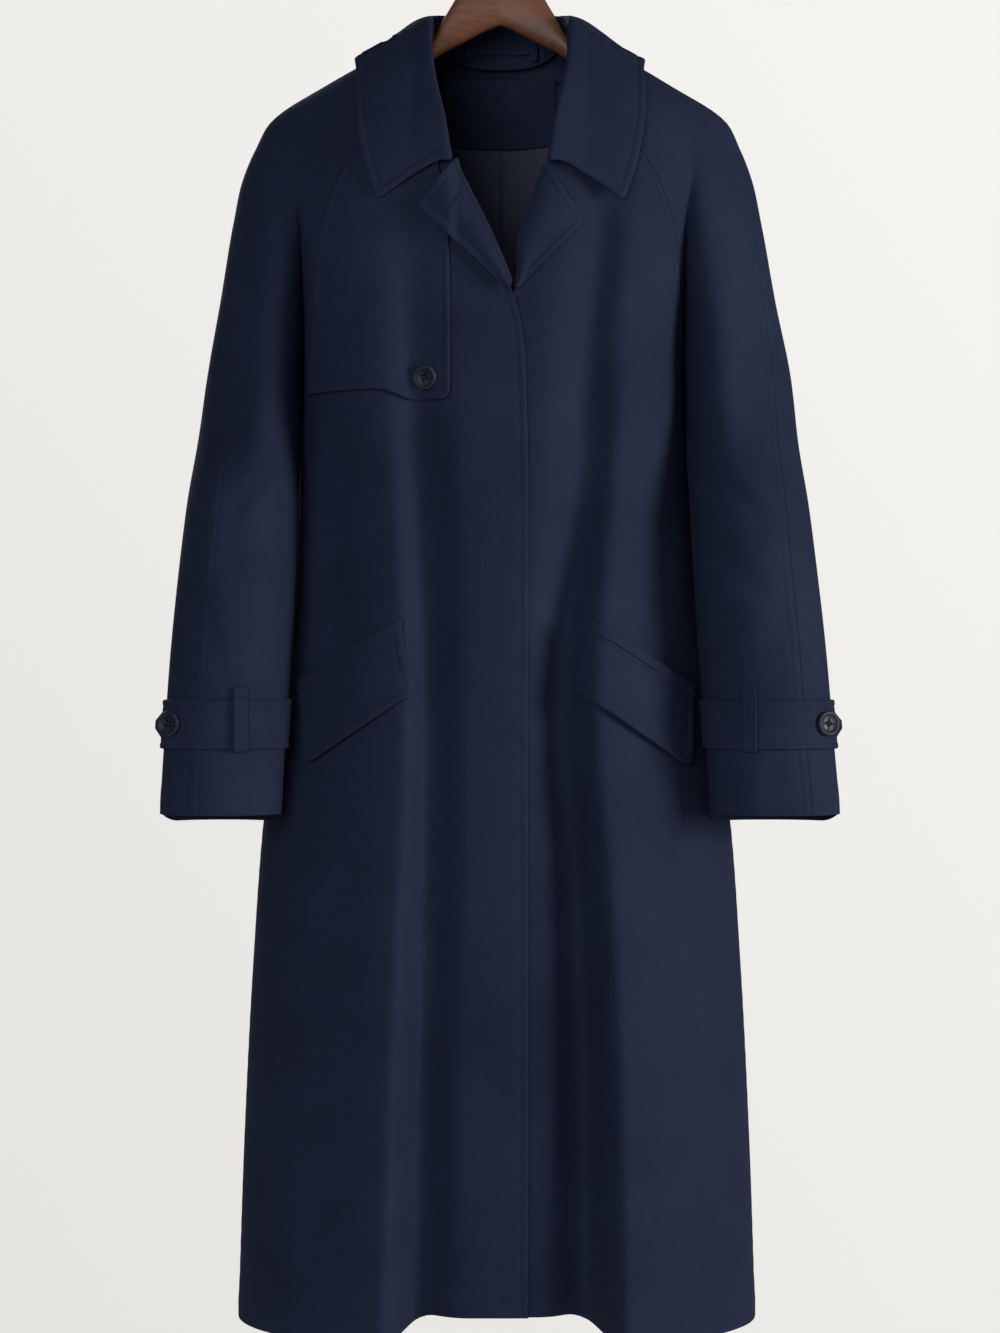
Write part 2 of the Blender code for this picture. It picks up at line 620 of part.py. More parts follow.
FALL_CLEARANCE = 0.0080  # the fall's outer face above the coat it lies on
FALL_ROWS, STAND_ROWS = 6, 2


def coat_field(point):
    """How far a point lies outside the yoke, along y; negative within it."""
    x, y, z = point
    middle_y = float(section("side_y", z))
    face = "depth_f" if y < middle_y else "depth_b"
    return abs(y - middle_y) - float(joined(x, z, face))


def clear_of_coat(point, clearance):
    """The point, moved out square to the yoke where it lies too close to it."""
    point = np.array(point, dtype=float)
    step = 0.001
    for _ in range(6):
        slope = np.array([(coat_field(point + step * axis) - coat_field(point - step * axis))
                          / (2 * step) for axis in np.eye(3)])
        size = max(np.linalg.norm(slope), 1.0)
        short = clearance - coat_field(point) / size
        if short > 0:
            point = point + slope / size * short
    return point


neck_line, fold_line, edge_line = (mid_points(collar_curve(first)) for first in (0, 3, 6))
stand_rows = []
toward_neck = neck_line - fold_line
toward_neck = toward_neck / np.linalg.norm(toward_neck, axis=1, keepdims=True)
in_front = smooth(-fold_line[:, 1:2] / 0.06)
stand_top = fold_line + toward_neck * 0.0045 + in_front * (0.0, 0.0030, 0.0)
for t in np.linspace(0.0, 1.0, STAND_ROWS):
    stand_rows.append(neck_line * (1 - t) + stand_top * t)
stand = np.array(stand_rows)
middle = np.array([0.0, -0.02, -0.15])
stand_out = normals_of(stand)
if float(np.sum(stand_out * (stand - middle))) < 0:
    stand_out = -stand_out
wall("collar_stand", stand, stand_out, CLOTH, gabardine)

fall_rows = []
for t in np.linspace(0.0, 1.0, FALL_ROWS):
    row = fold_line * (1 - t) + edge_line * t
    lift = 0.006 * math.sin(math.pi * min(1.0, t * 1.15))
    row = row + (0, 0, lift)
    if t > 0.15:
        row = np.array([clear_of_coat(point, FALL_CLEARANCE) for point in row])
    fall_rows.append(row)
fall = np.array(fall_rows)
fall_out = normals_of(fall)
if float(np.sum(fall_out * (fall - middle))) < 0:
    fall_out = -fall_out
wall("collar_fall", fall, fall_out, DOUBLE, gabardine)

# Inside the back: the neck facing and the top of the lining, with its pleat.
INSIDE_COLUMNS = 11
INSIDE_GAP = 0.0006     # from the inside of the back


def inside_back(name, reach, top, low, rows, material, inset):
    """A piece against the inside of the back; inset gives its clearance at x."""
    grid = []
    for t in np.linspace(0.0, 1.0, rows):
        x = np.linspace(-reach, reach, INSIDE_COLUMNS)
        z = top(x) * (1 - t) + low(x) * t
        grid.append(np.stack([x, back_y(x, z) - CLOTH - inset(x), z], axis=1))
    grid = np.array(grid)
    wall(name, grid, faced(grid, (0, -1, 0)), -CLOTH, material)


FACING_CENTRE_Z, LINING_LOW_Z = -0.2185, -0.360
PLEAT_X, PLEAT_WIDTH, PLEAT_HEIGHT = 0.006, 0.008, 0.003
INSIDE_SEAM = 0.0008


def facing_top(x):
    return -0.1515 - 0.30 * x ** 2


def facing_low(x):
    return FACING_CENTRE_Z + 1.6 * x ** 2


def lining_top(x):
    return facing_low(x) - INSIDE_SEAM


def lining_low(x):
    return LINING_LOW_Z + 0.0 * x


def flat_against(x):
    return CLOTH + INSIDE_GAP + 0.0 * x


def pleated(x):
    return CLOTH + INSIDE_GAP + PLEAT_HEIGHT * bell(x - PLEAT_X, PLEAT_WIDTH)


inside_back("neck_facing", 0.054, facing_top, facing_low, 4, gabardine, flat_against)
inside_back("lining_back", 0.110, lining_top, lining_low, 6, satin, pleated)

# Hanging loop: a folded band across the inside of the collar stand.
LOOP_Z, LOOP_HEIGHT, LOOP_FROM_X, LOOP_TO_X = -0.1270, 0.0068, -0.0330, 0.0360
loop_x = np.linspace(LOOP_FROM_X, LOOP_TO_X, 9)
loop_grid = np.array([np.stack([loop_x, 0.0578 - 5.0 * loop_x ** 2, np.full(9, z)], axis=1)
                      for z in (LOOP_Z + LOOP_HEIGHT / 2, LOOP_Z - LOOP_HEIGHT / 2)])
wall("hanger_loop", loop_grid, faced(loop_grid, (0, -1, 0)), CLOTH, gabardine)


# Cuff straps: from a point at the outer edge, round the front, the inner edge
# and the back of the sleeve, to end behind the point.
STRAP_Z, STRAP_HALF, STRAP_POINT, STRAP_TURN = -0.7730, 0.0225, 0.024, 0.62
STRAP_OUT = LAY_GAP + DOUBLE


def pushed_out(ring, distance):
    """A closed level section moved outwards, and its outward directions."""
    step = np.roll(ring, -1, axis=0) - np.roll(ring, 1, axis=0)
    normal = np.stack([step[:, 1], -step[:, 0]], axis=1)
    normal /= np.linalg.norm(normal, axis=1, keepdims=True)
    if float(np.sum(normal * (ring - ring.mean(axis=0)))) < 0:
        normal = -normal
    return ring + normal * distance, normal


def facet_ring(sign, z):
    """The faceted sleeve's own level section at height z, inner end first."""
    rows = []
    for half in ("sleeve_front_", "sleeve_back_"):
        grid = shell[half + NAMES[sign]]
        heights = -grid[:, 0, 2]
        i = int(np.searchsorted(heights, -z)) - 1
        t = (-z - heights[i]) / (heights[i + 1] - heights[i])
        rows.append((grid[i] * (1 - t) + grid[i + 1] * t)[:, :2])
    return np.concatenate([rows[0], rows[1][1:-1]])


def strap_path(sign, z):
    """The strap's outer face at height z, and the way its point runs on."""
    path, normal = pushed_out(facet_ring(sign, z), STRAP_OUT)
    turned = next(i for i in range(2, SLEEVE_FRONT_COLUMNS + 2)
                  if normal[i, 0] * sign > STRAP_TURN)
    band = np.concatenate([path[turned:0:-1], path[:1], path[:turned + 2:-1]])
    ahead = band[0] - band[1]
    ahead /= np.linalg.norm(ahead)
    return band, ahead


for sign, side in NAMES.items():
    rows = []
    for share in (1.0, 0.0, -1.0):
        band, ahead = strap_path(sign, STRAP_Z + share * STRAP_HALF)
        middle_band = strap_path(sign, STRAP_Z)[0]
        points = [(*(middle_band[0] + ahead * STRAP_POINT), STRAP_Z + share * 0.0015)]
        points.append((*(band[0] + ahead * STRAP_POINT * 0.5), STRAP_Z + share * STRAP_HALF))
        points += [(*point, STRAP_Z + share * STRAP_HALF) for point in band]
        rows.append(points)
    strap = np.array(rows)
    strap_out = normals_of(strap)
    hub = np.array([*sleeve_ring(sign, STRAP_Z).mean(axis=0), STRAP_Z])
    if float(np.sum(strap_out * (strap - hub))) < 0:
        strap_out = -strap_out
    wall("cuff_strap_" + side, strap, strap_out, DOUBLE, gabardine)

# Keeper loops: a narrow band over each strap, caught into the sleeve.
LOOP_CENTRE_X = {RIGHT: -0.2350, LEFT: 0.2260}
KEEPER_WIDTH, KEEPER_REACH = 0.0130, 0.0320
for sign, side in NAMES.items():
    rows = []
    for share in (1.0, 0.88, -0.88, -1.0):
        z = STRAP_Z + 0.005 + share * KEEPER_REACH
        out = STRAP_OUT + LAY_GAP + CLOTH + 0.0004 if abs(share) < 1 else LAY_GAP + CLOTH + 0.0012
        x = LOOP_CENTRE_X[sign] + np.linspace(-0.5, 0.5, 3) * KEEPER_WIDTH
        ring = facet_ring(sign, z)[:SLEEVE_FRONT_COLUMNS]
        order = np.argsort(ring[:, 0])
        y = np.interp(x, ring[order, 0], ring[order, 1]) - out * 1.06
        rows.append(np.stack([x, y, np.full(3, z)], axis=1))
    keeper = np.array(rows)
    wall("strap_loop_" + side, keeper, faced(keeper, (0, -1, 0)), CLOTH, gabardine)


# Buttons: turned, with a rim round a shallow dish.
def loft(name, rings, material):
    """A closed solid through rings of equal count, capped at both ends."""
    count = len(rings[0])
    points = [point for ring in rings for point in ring]
    faces = []
    for i in range(len(rings) - 1):
        for j in range(count):
            a, b = i * count + j, i * count + (j + 1) % count
            faces.append((a, b, b + count, a + count))
    faces.append(tuple(range(count))[::-1])
    faces.append(tuple(range((len(rings) - 1) * count, len(rings) * count)))
    return add_mesh(name, points, faces, material)


BUTTON_PROFILE = ((0.72, 0.00), (0.96, 0.22), (1.00, 0.50), (0.95, 0.85), (0.84, 1.00),
                  (0.70, 0.86), (0.60, 0.62))       # radius and height, as shares
BUTTON_SIDES = 18


def button(name, centre, facing, diameter, thickness):
    """centre is the middle of its back face; facing points away from the cloth."""
    facing = Vector(facing).normalized()
    turn = facing.to_track_quat("Z", "Y")
    rings = []
    for radius, height in BUTTON_PROFILE:
        ring = []
        for i in range(BUTTON_SIDES):
            angle = 2 * math.pi * i / BUTTON_SIDES
            local = Vector((math.cos(angle) * radius * diameter / 2,
                            math.sin(angle) * radius * diameter / 2, height * thickness))
            ring.append(Vector(centre) + turn @ local)
        rings.append(ring)
    return loft(name, rings, material=horn)


BUTTON_GAP = 0.0004
chest = on_front(np.array([[-0.0661]]), np.array([[-0.4550]]), GUN_HEIGHT + LAP * 0.2)[0, 0]
out = faced(on_front(np.array([[-0.072, -0.060], [-0.072, -0.060]]),
                     np.array([[-0.449, -0.449], [-0.461, -0.461]]), 0.003), (0, -1, 0))[0, 0]
button("button_chest", chest + out * BUTTON_GAP, out, 0.0230, 0.0042)
for sign, side in NAMES.items():
    band, ahead = strap_path(sign, STRAP_Z)
    square = np.array([ahead[1], -ahead[0]])
    if square[1] > 0:
        square = -square
    seat = band[0] + ahead * 0.004 + square * (BUTTON_GAP + 0.0004)
    button("button_cuff_" + side, (*seat, STRAP_Z + 0.001), (*square, 0.0), 0.0230, 0.0040)

# Hanger: shaped wood, thicker towards its ends, with a plain steel hook.
HANGER_COLUMNS = ("x", "top", "bottom", "mid_y", "half_y")
HANGER = np.array([
    (0.000, -0.0570, -0.1140, 0.000, 0.0085),
    (0.018, -0.0635, -0.1220, 0.000, 0.0088),
    (0.035, -0.0790, -0.1310, 0.000, 0.0092),
    (0.050, -0.1030, -0.1385, 0.000, 0.0096),
    (0.066, -0.1290, -0.1480, 0.000, 0.0100),
    (0.100, -0.1412, -0.1660, 0.000, 0.0115),
    (0.135, -0.1602, -0.1850, 0.001, 0.0135),
    (0.170, -0.1830, -0.2060, 0.002, 0.0150),
    (0.198, -0.2030, -0.2230, 0.002, 0.0140),
    (0.206, -0.2110, -0.2220, 0.002, 0.0090),
])
rings = []
for row in np.concatenate([HANGER[:0:-1] * (-1, 1, 1, 1, 1), HANGER]):
    x, top, bottom, mid_y, half_y = row
    rings.append([(x, mid_y + half_y * math.cos(2 * math.pi * i / 16),
                   (top + bottom) / 2 + (top - bottom) / 2 * math.sin(2 * math.pi * i / 16))
                  for i in range(16)])
loft("hanger_wood", rings, walnut)

HOOK_WIRE, HOOK_RADIUS = 0.0021, 0.0200
HOOK_MIDDLE_Z = HOOK_WIRE - HOOK_RADIUS
hook_path = [(0.0, -0.0567), (0.0, -0.0480), (0.0008, -0.0425)]
for i in range(15):
    angle = math.radians(-72 + 270 * i / 14)
    hook_path.append((HOOK_RADIUS * math.cos(angle), HOOK_MIDDLE_Z + HOOK_RADIUS * math.sin(angle)))
hook_path = np.array(hook_path)
tangents = np.gradient(hook_path, axis=0)
tangents /= np.linalg.norm(tangents, axis=1, keepdims=True)
rings = []
for (x, z), (run_x, run_z) in zip(hook_path, tangents):
    ring = []
    for i in range(10):
        angle = 2 * math.pi * i / 10
        side_step, y = HOOK_WIRE * math.cos(angle), HOOK_WIRE * math.sin(angle)
        ring.append((x - run_z * side_step, y, z + run_x * side_step))
    rings.append(ring)
loft("hanger_hook", rings, steel)
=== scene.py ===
import math

import bmesh
import bpy
import numpy as np
from mathutils import Matrix, Vector


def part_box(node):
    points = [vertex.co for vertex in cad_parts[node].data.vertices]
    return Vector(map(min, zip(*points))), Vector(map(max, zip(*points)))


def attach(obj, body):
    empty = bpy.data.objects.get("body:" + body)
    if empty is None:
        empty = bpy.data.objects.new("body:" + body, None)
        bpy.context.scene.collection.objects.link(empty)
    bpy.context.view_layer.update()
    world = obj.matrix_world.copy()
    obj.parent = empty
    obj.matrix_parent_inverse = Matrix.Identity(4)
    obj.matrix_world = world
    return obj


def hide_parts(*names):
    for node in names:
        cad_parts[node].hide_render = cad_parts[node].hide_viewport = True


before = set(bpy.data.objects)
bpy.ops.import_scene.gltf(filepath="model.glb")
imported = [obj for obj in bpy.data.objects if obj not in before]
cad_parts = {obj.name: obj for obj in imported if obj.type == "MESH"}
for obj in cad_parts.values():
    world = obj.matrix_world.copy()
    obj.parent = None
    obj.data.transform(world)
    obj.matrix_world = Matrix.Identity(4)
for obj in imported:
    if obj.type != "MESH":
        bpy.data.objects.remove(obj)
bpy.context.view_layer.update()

# ---- The room: a pale studio. The coat hangs level with the camera, and
# the floor is a pale disc far below the hem, fading out before its rim. The
# backdrop that the camera sees is painted light: darker at the lower left, paler
# towards the window at the upper right.
EYE = Vector((0.0, -2.67, -0.72))
PICTURE_HEIGHT = 1.2264         # what the camera takes in at the coat's front
FRONT_PLANE_Y = -0.07

lens = bpy.data.cameras.new("studio camera")
lens.sensor_width = 36.0
lens.lens = lens.sensor_width * (FRONT_PLANE_Y - EYE.y) / PICTURE_HEIGHT
lens.clip_end = 50.0
camera = bpy.data.objects.new("studio camera", lens)
camera.location = EYE
camera.rotation_euler = (math.pi / 2, 0.0, 0.0)
bpy.context.scene.collection.objects.link(camera)
bpy.context.scene.camera = camera
bpy.context.scene.view_settings.view_transform = "Standard"

world = bpy.data.worlds.new("studio")
bpy.context.scene.world = world
world.use_nodes = True
air = world.node_tree
seen = air.nodes.new("ShaderNodeBackground")
way = air.nodes.new("ShaderNodeTexCoord")
slant = air.nodes.new("ShaderNodeVectorMath")
slant.operation = "DOT_PRODUCT"
slant.inputs[1].default_value = (0.80, 0.0, 0.60)
paler = air.nodes.new("ShaderNodeMapRange")
paler.inputs["From Min"].default_value = -0.28
paler.inputs["From Max"].default_value = 0.28
# The backdrop's colour is painted light: it runs paler towards the window side at the upper right.
painted_light_backdrop = air.nodes.new("ShaderNodeMix")
painted_light_backdrop.data_type = "RGBA"
painted_light_backdrop.inputs[6].default_value = (0.775, 0.765, 0.735, 1.0)
painted_light_backdrop.inputs[7].default_value = (0.920, 0.910, 0.880, 1.0)
air.links.new(way.outputs["Generated"], slant.inputs[0])
air.links.new(slant.outputs["Value"], paler.inputs["Value"])
air.links.new(paler.outputs["Result"], painted_light_backdrop.inputs["Factor"])
air.links.new(painted_light_backdrop.outputs[2], seen.inputs["Color"])
lit = air.nodes["Background"]
lit.inputs["Color"].default_value = (0.93, 0.96, 1.0, 1.0)
lit.inputs["Strength"].default_value = 0.10
ray = air.nodes.new("ShaderNodeLightPath")
choose = air.nodes.new("ShaderNodeMixShader")
air.links.new(ray.outputs["Is Camera Ray"], choose.inputs["Fac"])
air.links.new(lit.outputs["Background"], choose.inputs[1])
air.links.new(seen.outputs["Background"], choose.inputs[2])
air.links.new(choose.outputs["Shader"], air.nodes["World Output"].inputs["Surface"])


def soft_light(name, place, aim, size, power, colour):
    lamp = bpy.data.lights.new(name, "AREA")
    lamp.shape = "DISK"
    lamp.size = size
    lamp.energy = power
    lamp.color = colour
    light = bpy.data.objects.new(name, lamp)
    light.location = place
    light.rotation_euler = (Vector(aim) - Vector(place)).to_track_quat("-Z", "Y").to_euler()
    bpy.context.scene.collection.objects.link(light)


soft_light("window", (2.7, -1.2, -0.45), (0.0, 0.0, -0.7), 1.1, 54.0, (1.0, 0.985, 0.97))
soft_light("fill", (-1.0, -3.1, -0.1), (0.0, 0.0, -0.7), 1.8, 31.0, (0.92, 0.96, 1.0))
soft_light("back wall", (-0.8, 2.4, 0.4), (0.0, 0.0, -0.6), 1.8, 20.0, (1.0, 1.0, 1.0))

FLOOR_Z, FLOOR_SOLID, FLOOR_RIM = -1.78, 0.9, 1.75
bpy.ops.mesh.primitive_circle_add(vertices=96, radius=FLOOR_RIM, fill_type="NGON",
                                  location=(0.0, 0.0, FLOOR_Z))
floor = bpy.context.object
floor.name = "studio_floor"
paint = bpy.data.materials.new("studio floor")
paint.use_nodes = True
tree = paint.node_tree
shader = tree.nodes["Principled BSDF"]
shader.inputs["Base Color"].default_value = (0.80, 0.79, 0.77, 1.0)
shader.inputs["Roughness"].default_value = 0.7
place = tree.nodes.new("ShaderNodeTexCoord")
span = tree.nodes.new("ShaderNodeVectorMath")
span.operation = "LENGTH"
fade = tree.nodes.new("ShaderNodeMapRange")
fade.interpolation_type = "SMOOTHERSTEP"
fade.inputs["From Min"].default_value = FLOOR_SOLID
fade.inputs["From Max"].default_value = FLOOR_RIM * 0.97
fade.inputs["To Min"].default_value = 1.0
fade.inputs["To Max"].default_value = 0.0
tree.links.new(place.outputs["Object"], span.inputs[0])
tree.links.new(span.outputs["Value"], fade.inputs["Value"])
tree.links.new(fade.outputs["Result"], shader.inputs["Alpha"])
floor.data.materials.append(paint)

# ---- The fronts. Each is one long panel of navy wool gabardine with its free edge
# turned in and stitched. The right one laps over the left and hides the buttons
# under a fly, whose stitching runs down beside the edge and curves out below.
RIGHT, LEFT = -1, 1             # the wearer's sides, which are the signs of x
NAMES = {RIGHT: "right", LEFT: "left"}
CLOTH = 0.0016                  # one layer of the coat, shell and lining together
DOUBLE = 0.0024                 # collar, lapels, flaps and straps, made double
NECK_Z = -0.121
UNDERARM_Z = -0.452
CUFF_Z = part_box("sleeve_front_right")[0].z
HEM_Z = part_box("front_right")[0].z
BREAK_Z = -0.378                # where the lapels start to roll

# outer: half width over both sleeves; inner: the crease between sleeve and body,
# then the sleeve's own inner edge; side: the body's half width; depth_f and
# depth_b: how far front and back stand from the side seams, which are at side_y.
SECTION_COLUMNS = ("z", "outer_r", "outer_l", "inner_r", "inner_l", "side_r", "side_l",
                   "depth_f", "depth_b", "side_y")
SECTIONS = np.array([
    (-0.121, 0.071, 0.070, 0.190, 0.184, 0.190, 0.184, 0.044, 0.060, 0.004),
    (-0.137, 0.101, 0.099, 0.190, 0.184, 0.190, 0.184, 0.052, 0.064, 0.003),
    (-0.156, 0.136, 0.133, 0.190, 0.184, 0.190, 0.184, 0.062, 0.068, 0.002),
    (-0.175, 0.169, 0.165, 0.190, 0.184, 0.190, 0.184, 0.072, 0.072, 0.002),
    (-0.204, 0.214, 0.211, 0.190, 0.184, 0.190, 0.184, 0.082, 0.077, 0.002),
    (-0.232, 0.231, 0.227, 0.190, 0.182, 0.190, 0.182, 0.089, 0.082, 0.002),
    (-0.260, 0.243, 0.238, 0.188, 0.179, 0.188, 0.179, 0.096, 0.087, 0.003),
    (-0.300, 0.252, 0.247, 0.186, 0.175, 0.186, 0.175, 0.102, 0.091, 0.005),
    (-0.374, 0.265, 0.261, 0.185, 0.174, 0.185, 0.174, 0.111, 0.095, 0.010),
    (-0.452, 0.279, 0.277, 0.186, 0.175, 0.186, 0.175, 0.117, 0.096, 0.015),
    (-0.520, 0.287, 0.283, 0.188, 0.176, 0.189, 0.178, 0.120, 0.097, 0.021),
    (-0.600, 0.296, 0.292, 0.189, 0.179, 0.196, 0.186, 0.124, 0.100, 0.025),
    (-0.700, 0.305, 0.302, 0.193, 0.184, 0.206, 0.198, 0.129, 0.106, 0.028),
    (-0.780, 0.310, 0.308, 0.198, 0.190, 0.215, 0.208, 0.133, 0.111, 0.029),
    (-0.856, 0.314, 0.314, 0.202, 0.194, 0.224, 0.218, 0.137, 0.116, 0.026),
    (-1.000, 0.314, 0.314, 0.202, 0.194, 0.234, 0.228, 0.141, 0.124, 0.016),
    (-1.169, 0.314, 0.314, 0.202, 0.194, 0.242, 0.236, 0.143, 0.130, 0.010),
    (-1.333, 0.314, 0.314, 0.202, 0.194, 0.247, 0.241, 0.144, 0.134, 0.004),
])
# The raglan seam on the front and on the back, from the neck to the underarm.
RAGLAN_COLUMNS = ("z", "front", "back")
RAGLAN = np.array([
    (-0.121, 0.0660, 0.0660),
    (-0.140, 0.0685, 0.0520),
    (-0.150, 0.0690, 0.0620),
    (-0.190, 0.0700, 0.0950),
    (-0.217, 0.100, 0.115),
    (-0.245, 0.131, 0.135),
    (-0.287, 0.157, 0.158),
    (-0.339, 0.172, 0.174),
    (-0.393, 0.180, 0.181),
    (-0.452, 0.186, 0.186),
])
# The free edge of each front: the neckline, the roll line, then the front edge.
FRONT_EDGE_COLUMNS = ("z", "right", "left")
FRONT_EDGES = np.array([
    (-0.190, -0.0660, 0.0660),
    (-0.215, -0.0600, 0.0600),
    (-0.258, -0.0436, 0.0437),
    (-0.332, -0.0082, 0.0180),
    (-0.378, 0.0110, 0.0118),
    (-0.400, 0.0180, -0.0060),
    (-0.430, 0.0225, -0.0200),
    (-0.480, 0.0245, -0.0240),
    (-0.800, 0.0258, -0.0250),
    (-1.333, 0.0262, -0.0250),
])
# The middle of the front hangs back between two broad flutes.
TRAY_COLUMNS = ("z", "right_crest", "right_foot", "left_foot", "left_crest",
                "sunk", "groove_r", "groove_l")
TRAY = np.array([
    (-0.260, -0.110, -0.085, 0.096, 0.125, 0.000, 0.000, 0.000),
    (-0.310, -0.108, -0.085, 0.095, 0.124, 0.001, 0.002, 0.010),
    (-0.420, -0.103, -0.083, 0.086, 0.118, 0.004, 0.005, 0.013),
    (-0.545, -0.099, -0.072, 0.079, 0.113, 0.010, 0.010, 0.014),
    (-0.680, -0.090, -0.065, 0.062, 0.098, 0.018, 0.012, 0.018),
    (-0.780, -0.086, -0.064, 0.058, 0.092, 0.024, 0.011, 0.018),
    (-0.900, -0.091, -0.066, 0.068, 0.102, 0.032, 0.011, 0.016),
    (-1.050, -0.098, -0.068, 0.075, 0.110, 0.040, 0.012, 0.016),
    (-1.333, -0.108, -0.074, 0.079, 0.116, 0.054, 0.012, 0.016),
])
# Soft troughs pressed into the cloth: from, by way of, to, how deep and how wide.
FRONT_CREASES = (
    ((-0.012, -0.415), (-0.004, -0.490), (0.004, -0.580), 0.0030, 0.010),
    ((-0.030, -0.500), (-0.024, -0.530), (-0.020, -0.570), 0.0016, 0.009),
    ((-0.150, -0.490), (-0.125, -0.560), (-0.112, -0.660), 0.0026, 0.016),
    ((0.168, -0.400), (0.140, -0.470), (0.118, -0.560), 0.0030, 0.015),
    ((0.150, -0.330), (0.118, -0.400), (0.104, -0.470), 0.0020, 0.013),
    ((-0.172, -0.560), (-0.160, -0.640), (-0.150, -0.730), 0.0026, 0.014),
    ((0.160, -0.560), (0.150, -0.640), (0.141, -0.700), 0.0024, 0.013),
    ((0.024, -0.800), (0.034, -0.960), (0.030, -1.130), 0.0022, 0.018),
    ((-0.148, -0.860), (-0.160, -1.020), (-0.166, -1.230), 0.0032, 0.022),
    ((0.150, -0.880), (0.168, -1.040), (0.172, -1.280), 0.0034, 0.022),
    ((-0.030, -0.960), (-0.022, -1.100), (-0.026, -1.260), 0.0020, 0.016),
)


def column(table, names, name, z):
    """A named column of a table, read at height z with a smooth slope."""
    heights = -table[:, 0]
    values = table[:, names.index(name)]
    slopes = np.gradient(values, heights)
    depth = np.clip(-np.asarray(z, dtype=float), heights[0], heights[-1])
    i = np.clip(np.searchsorted(heights, depth, side="right") - 1, 0, len(heights) - 2)
    span = heights[i + 1] - heights[i]
    t = (depth - heights[i]) / span
    start = (1 + 2 * t) * (1 - t) ** 2 * values[i] + t * (1 - t) ** 2 * span * slopes[i]
    end = t * t * (3 - 2 * t) * values[i + 1] + t * t * (t - 1) * span * slopes[i + 1]
    return start + end


def section(name, z):
    return column(SECTIONS, SECTION_COLUMNS, name, z)


def side_of(name, sign):
    """The column's name for one side of the wearer."""
    return name + ("_r" if sign < 0 else "_l")


def smooth(t):
    t = np.clip(t, 0.0, 1.0)
    return t * t * (3.0 - 2.0 * t)


def bell(distance, width):
    return np.exp(-(distance / width) ** 2)


def creases(x, z, lines):
    """How deep the troughs in lines are at x, z; each fades out at both ends."""
    depth = np.zeros(np.broadcast(x, z).shape)
    for start, by, end, deep, wide in lines:
        reach = np.zeros(depth.shape)
        for t in np.linspace(0.0, 1.0, 33):
            path_x = start[0] * (1 - t) ** 2 + 2 * by[0] * t * (1 - t) + end[0] * t * t
            path_z = start[1] * (1 - t) ** 2 + 2 * by[1] * t * (1 - t) + end[1] * t * t
            near = bell(np.hypot(x - path_x, z - path_z), wide) * math.sin(math.pi * t) ** 0.7
            reach = np.maximum(reach, near)
        depth += deep * reach
    return depth


def ripple(x, z, phase):
    """The faint unevenness of cloth that hangs: under a millimetre, never repeating."""
    wave = np.sin(19 * x + 7 * z + phase) * np.sin(11 * z - 9 * x + 2 * phase)
    wave += 0.6 * np.sin(41 * x - 13 * z + 3 * phase) * np.sin(17 * z + 1.3 * phase)
    wave += 0.35 * np.sin(67 * x + 31 * z + phase) * np.sin(43 * z - 29 * x)
    return 0.0007 * wave


def tray(name, z):
    return column(TRAY, TRAY_COLUMNS, name, z)


def front_relief(x, z):
    """How far the folds hold the front back from its plain section."""
    fall_r = smooth((x - tray("right_crest", z)) / (tray("right_foot", z) - tray("right_crest", z)))
    fall_l = smooth((tray("left_crest", z) - x) / (tray("left_crest", z) - tray("left_foot", z)))
    sunk = tray("sunk", z) * fall_r * fall_l
    grooves = (tray("groove_r", z) * bell(x - tray("right_foot", z) - 0.004, 0.019)
               + tray("groove_l", z) * bell(x - tray("left_foot", z) + 0.004, 0.021))
    beside_sleeve = 0.011 * bell(x + 0.152, 0.019) * bell(z + 0.610, 0.110)
    return sunk + grooves + beside_sleeve + creases(x, z, FRONT_CREASES) + ripple(x, z, 0.4)


def ellipse(t, power=2.2, root=1.9):
    return (1.0 - np.clip(np.abs(t), 0.0, 1.0) ** power) ** (1.0 / root)


CREASE_TOP_Z = -0.225
MORPH = 0.12            # height over which the joined section turns into tubes


def parting(z):
    """0 where sleeve and body are one surface, 1 where they part."""
    return smooth((CREASE_TOP_Z - z) / (CREASE_TOP_Z - UNDERARM_Z))


def joined(x, z, face):
    """Depth of the one surface over body and sleeve, above the underarm."""
    outer = np.where(x < 0, section("outer_r", z), section("outer_l", z))
    inner = np.where(x < 0, section("inner_r", z), section("inner_l", z))
    reach = np.abs(x)
    depth = section(face, z) * ellipse(reach / outer)
    width = np.where(reach < inner, 0.080, 0.045)
    beside = ellipse(np.maximum(0.0, 1.0 - np.abs(reach - inner) / width))
    return depth * (1.0 - parting(z) * (1.0 - beside))


def body_depth(x, z, face):
    """Depth of the body's front or back away from the side seams."""
    side = np.where(x < 0, section("side_r", z), section("side_l", z))
    side_top = np.where(x < 0, section("side_r", UNDERARM_Z), section("side_l", UNDERARM_Z))
    above = joined(x, np.maximum(z, UNDERARM_Z), face)
    pinched = joined(x * side_top / side, UNDERARM_Z, face)
    tube = section(face, z) * ellipse(x / side)
    share = smooth((UNDERARM_Z - z) / MORPH)
    return np.where(z >= UNDERARM_Z, above, pinched * (1.0 - share) + tube * share)


def off_side(x, z):
    """0 at the side seams and 1 a little way in, so that both faces meet there."""
    side = np.where(x < 0, section("side_r", z), section("side_l", z))
    return np.where(z >= UNDERARM_Z, 1.0, smooth((side - np.abs(x)) / 0.030))


def front_y(x, z):
    x, z = np.broadcast_arrays(np.asarray(x, dtype=float), np.asarray(z, dtype=float))
    return section("side_y", z) - body_depth(x, z, "depth_f") + front_relief(x, z) * off_side(x, z)


def raglan(name, sign, z):
    """x of the raglan seam; it ends in the crease, which differs side to side."""
    at_underarm = section(side_of("inner", sign), UNDERARM_Z) / RAGLAN[-1, 1]
    share = smooth((NECK_Z - z) / (NECK_Z - UNDERARM_Z))
    return sign * column(RAGLAN, RAGLAN_COLUMNS, name, z) * (1.0 + share * (at_underarm - 1.0))


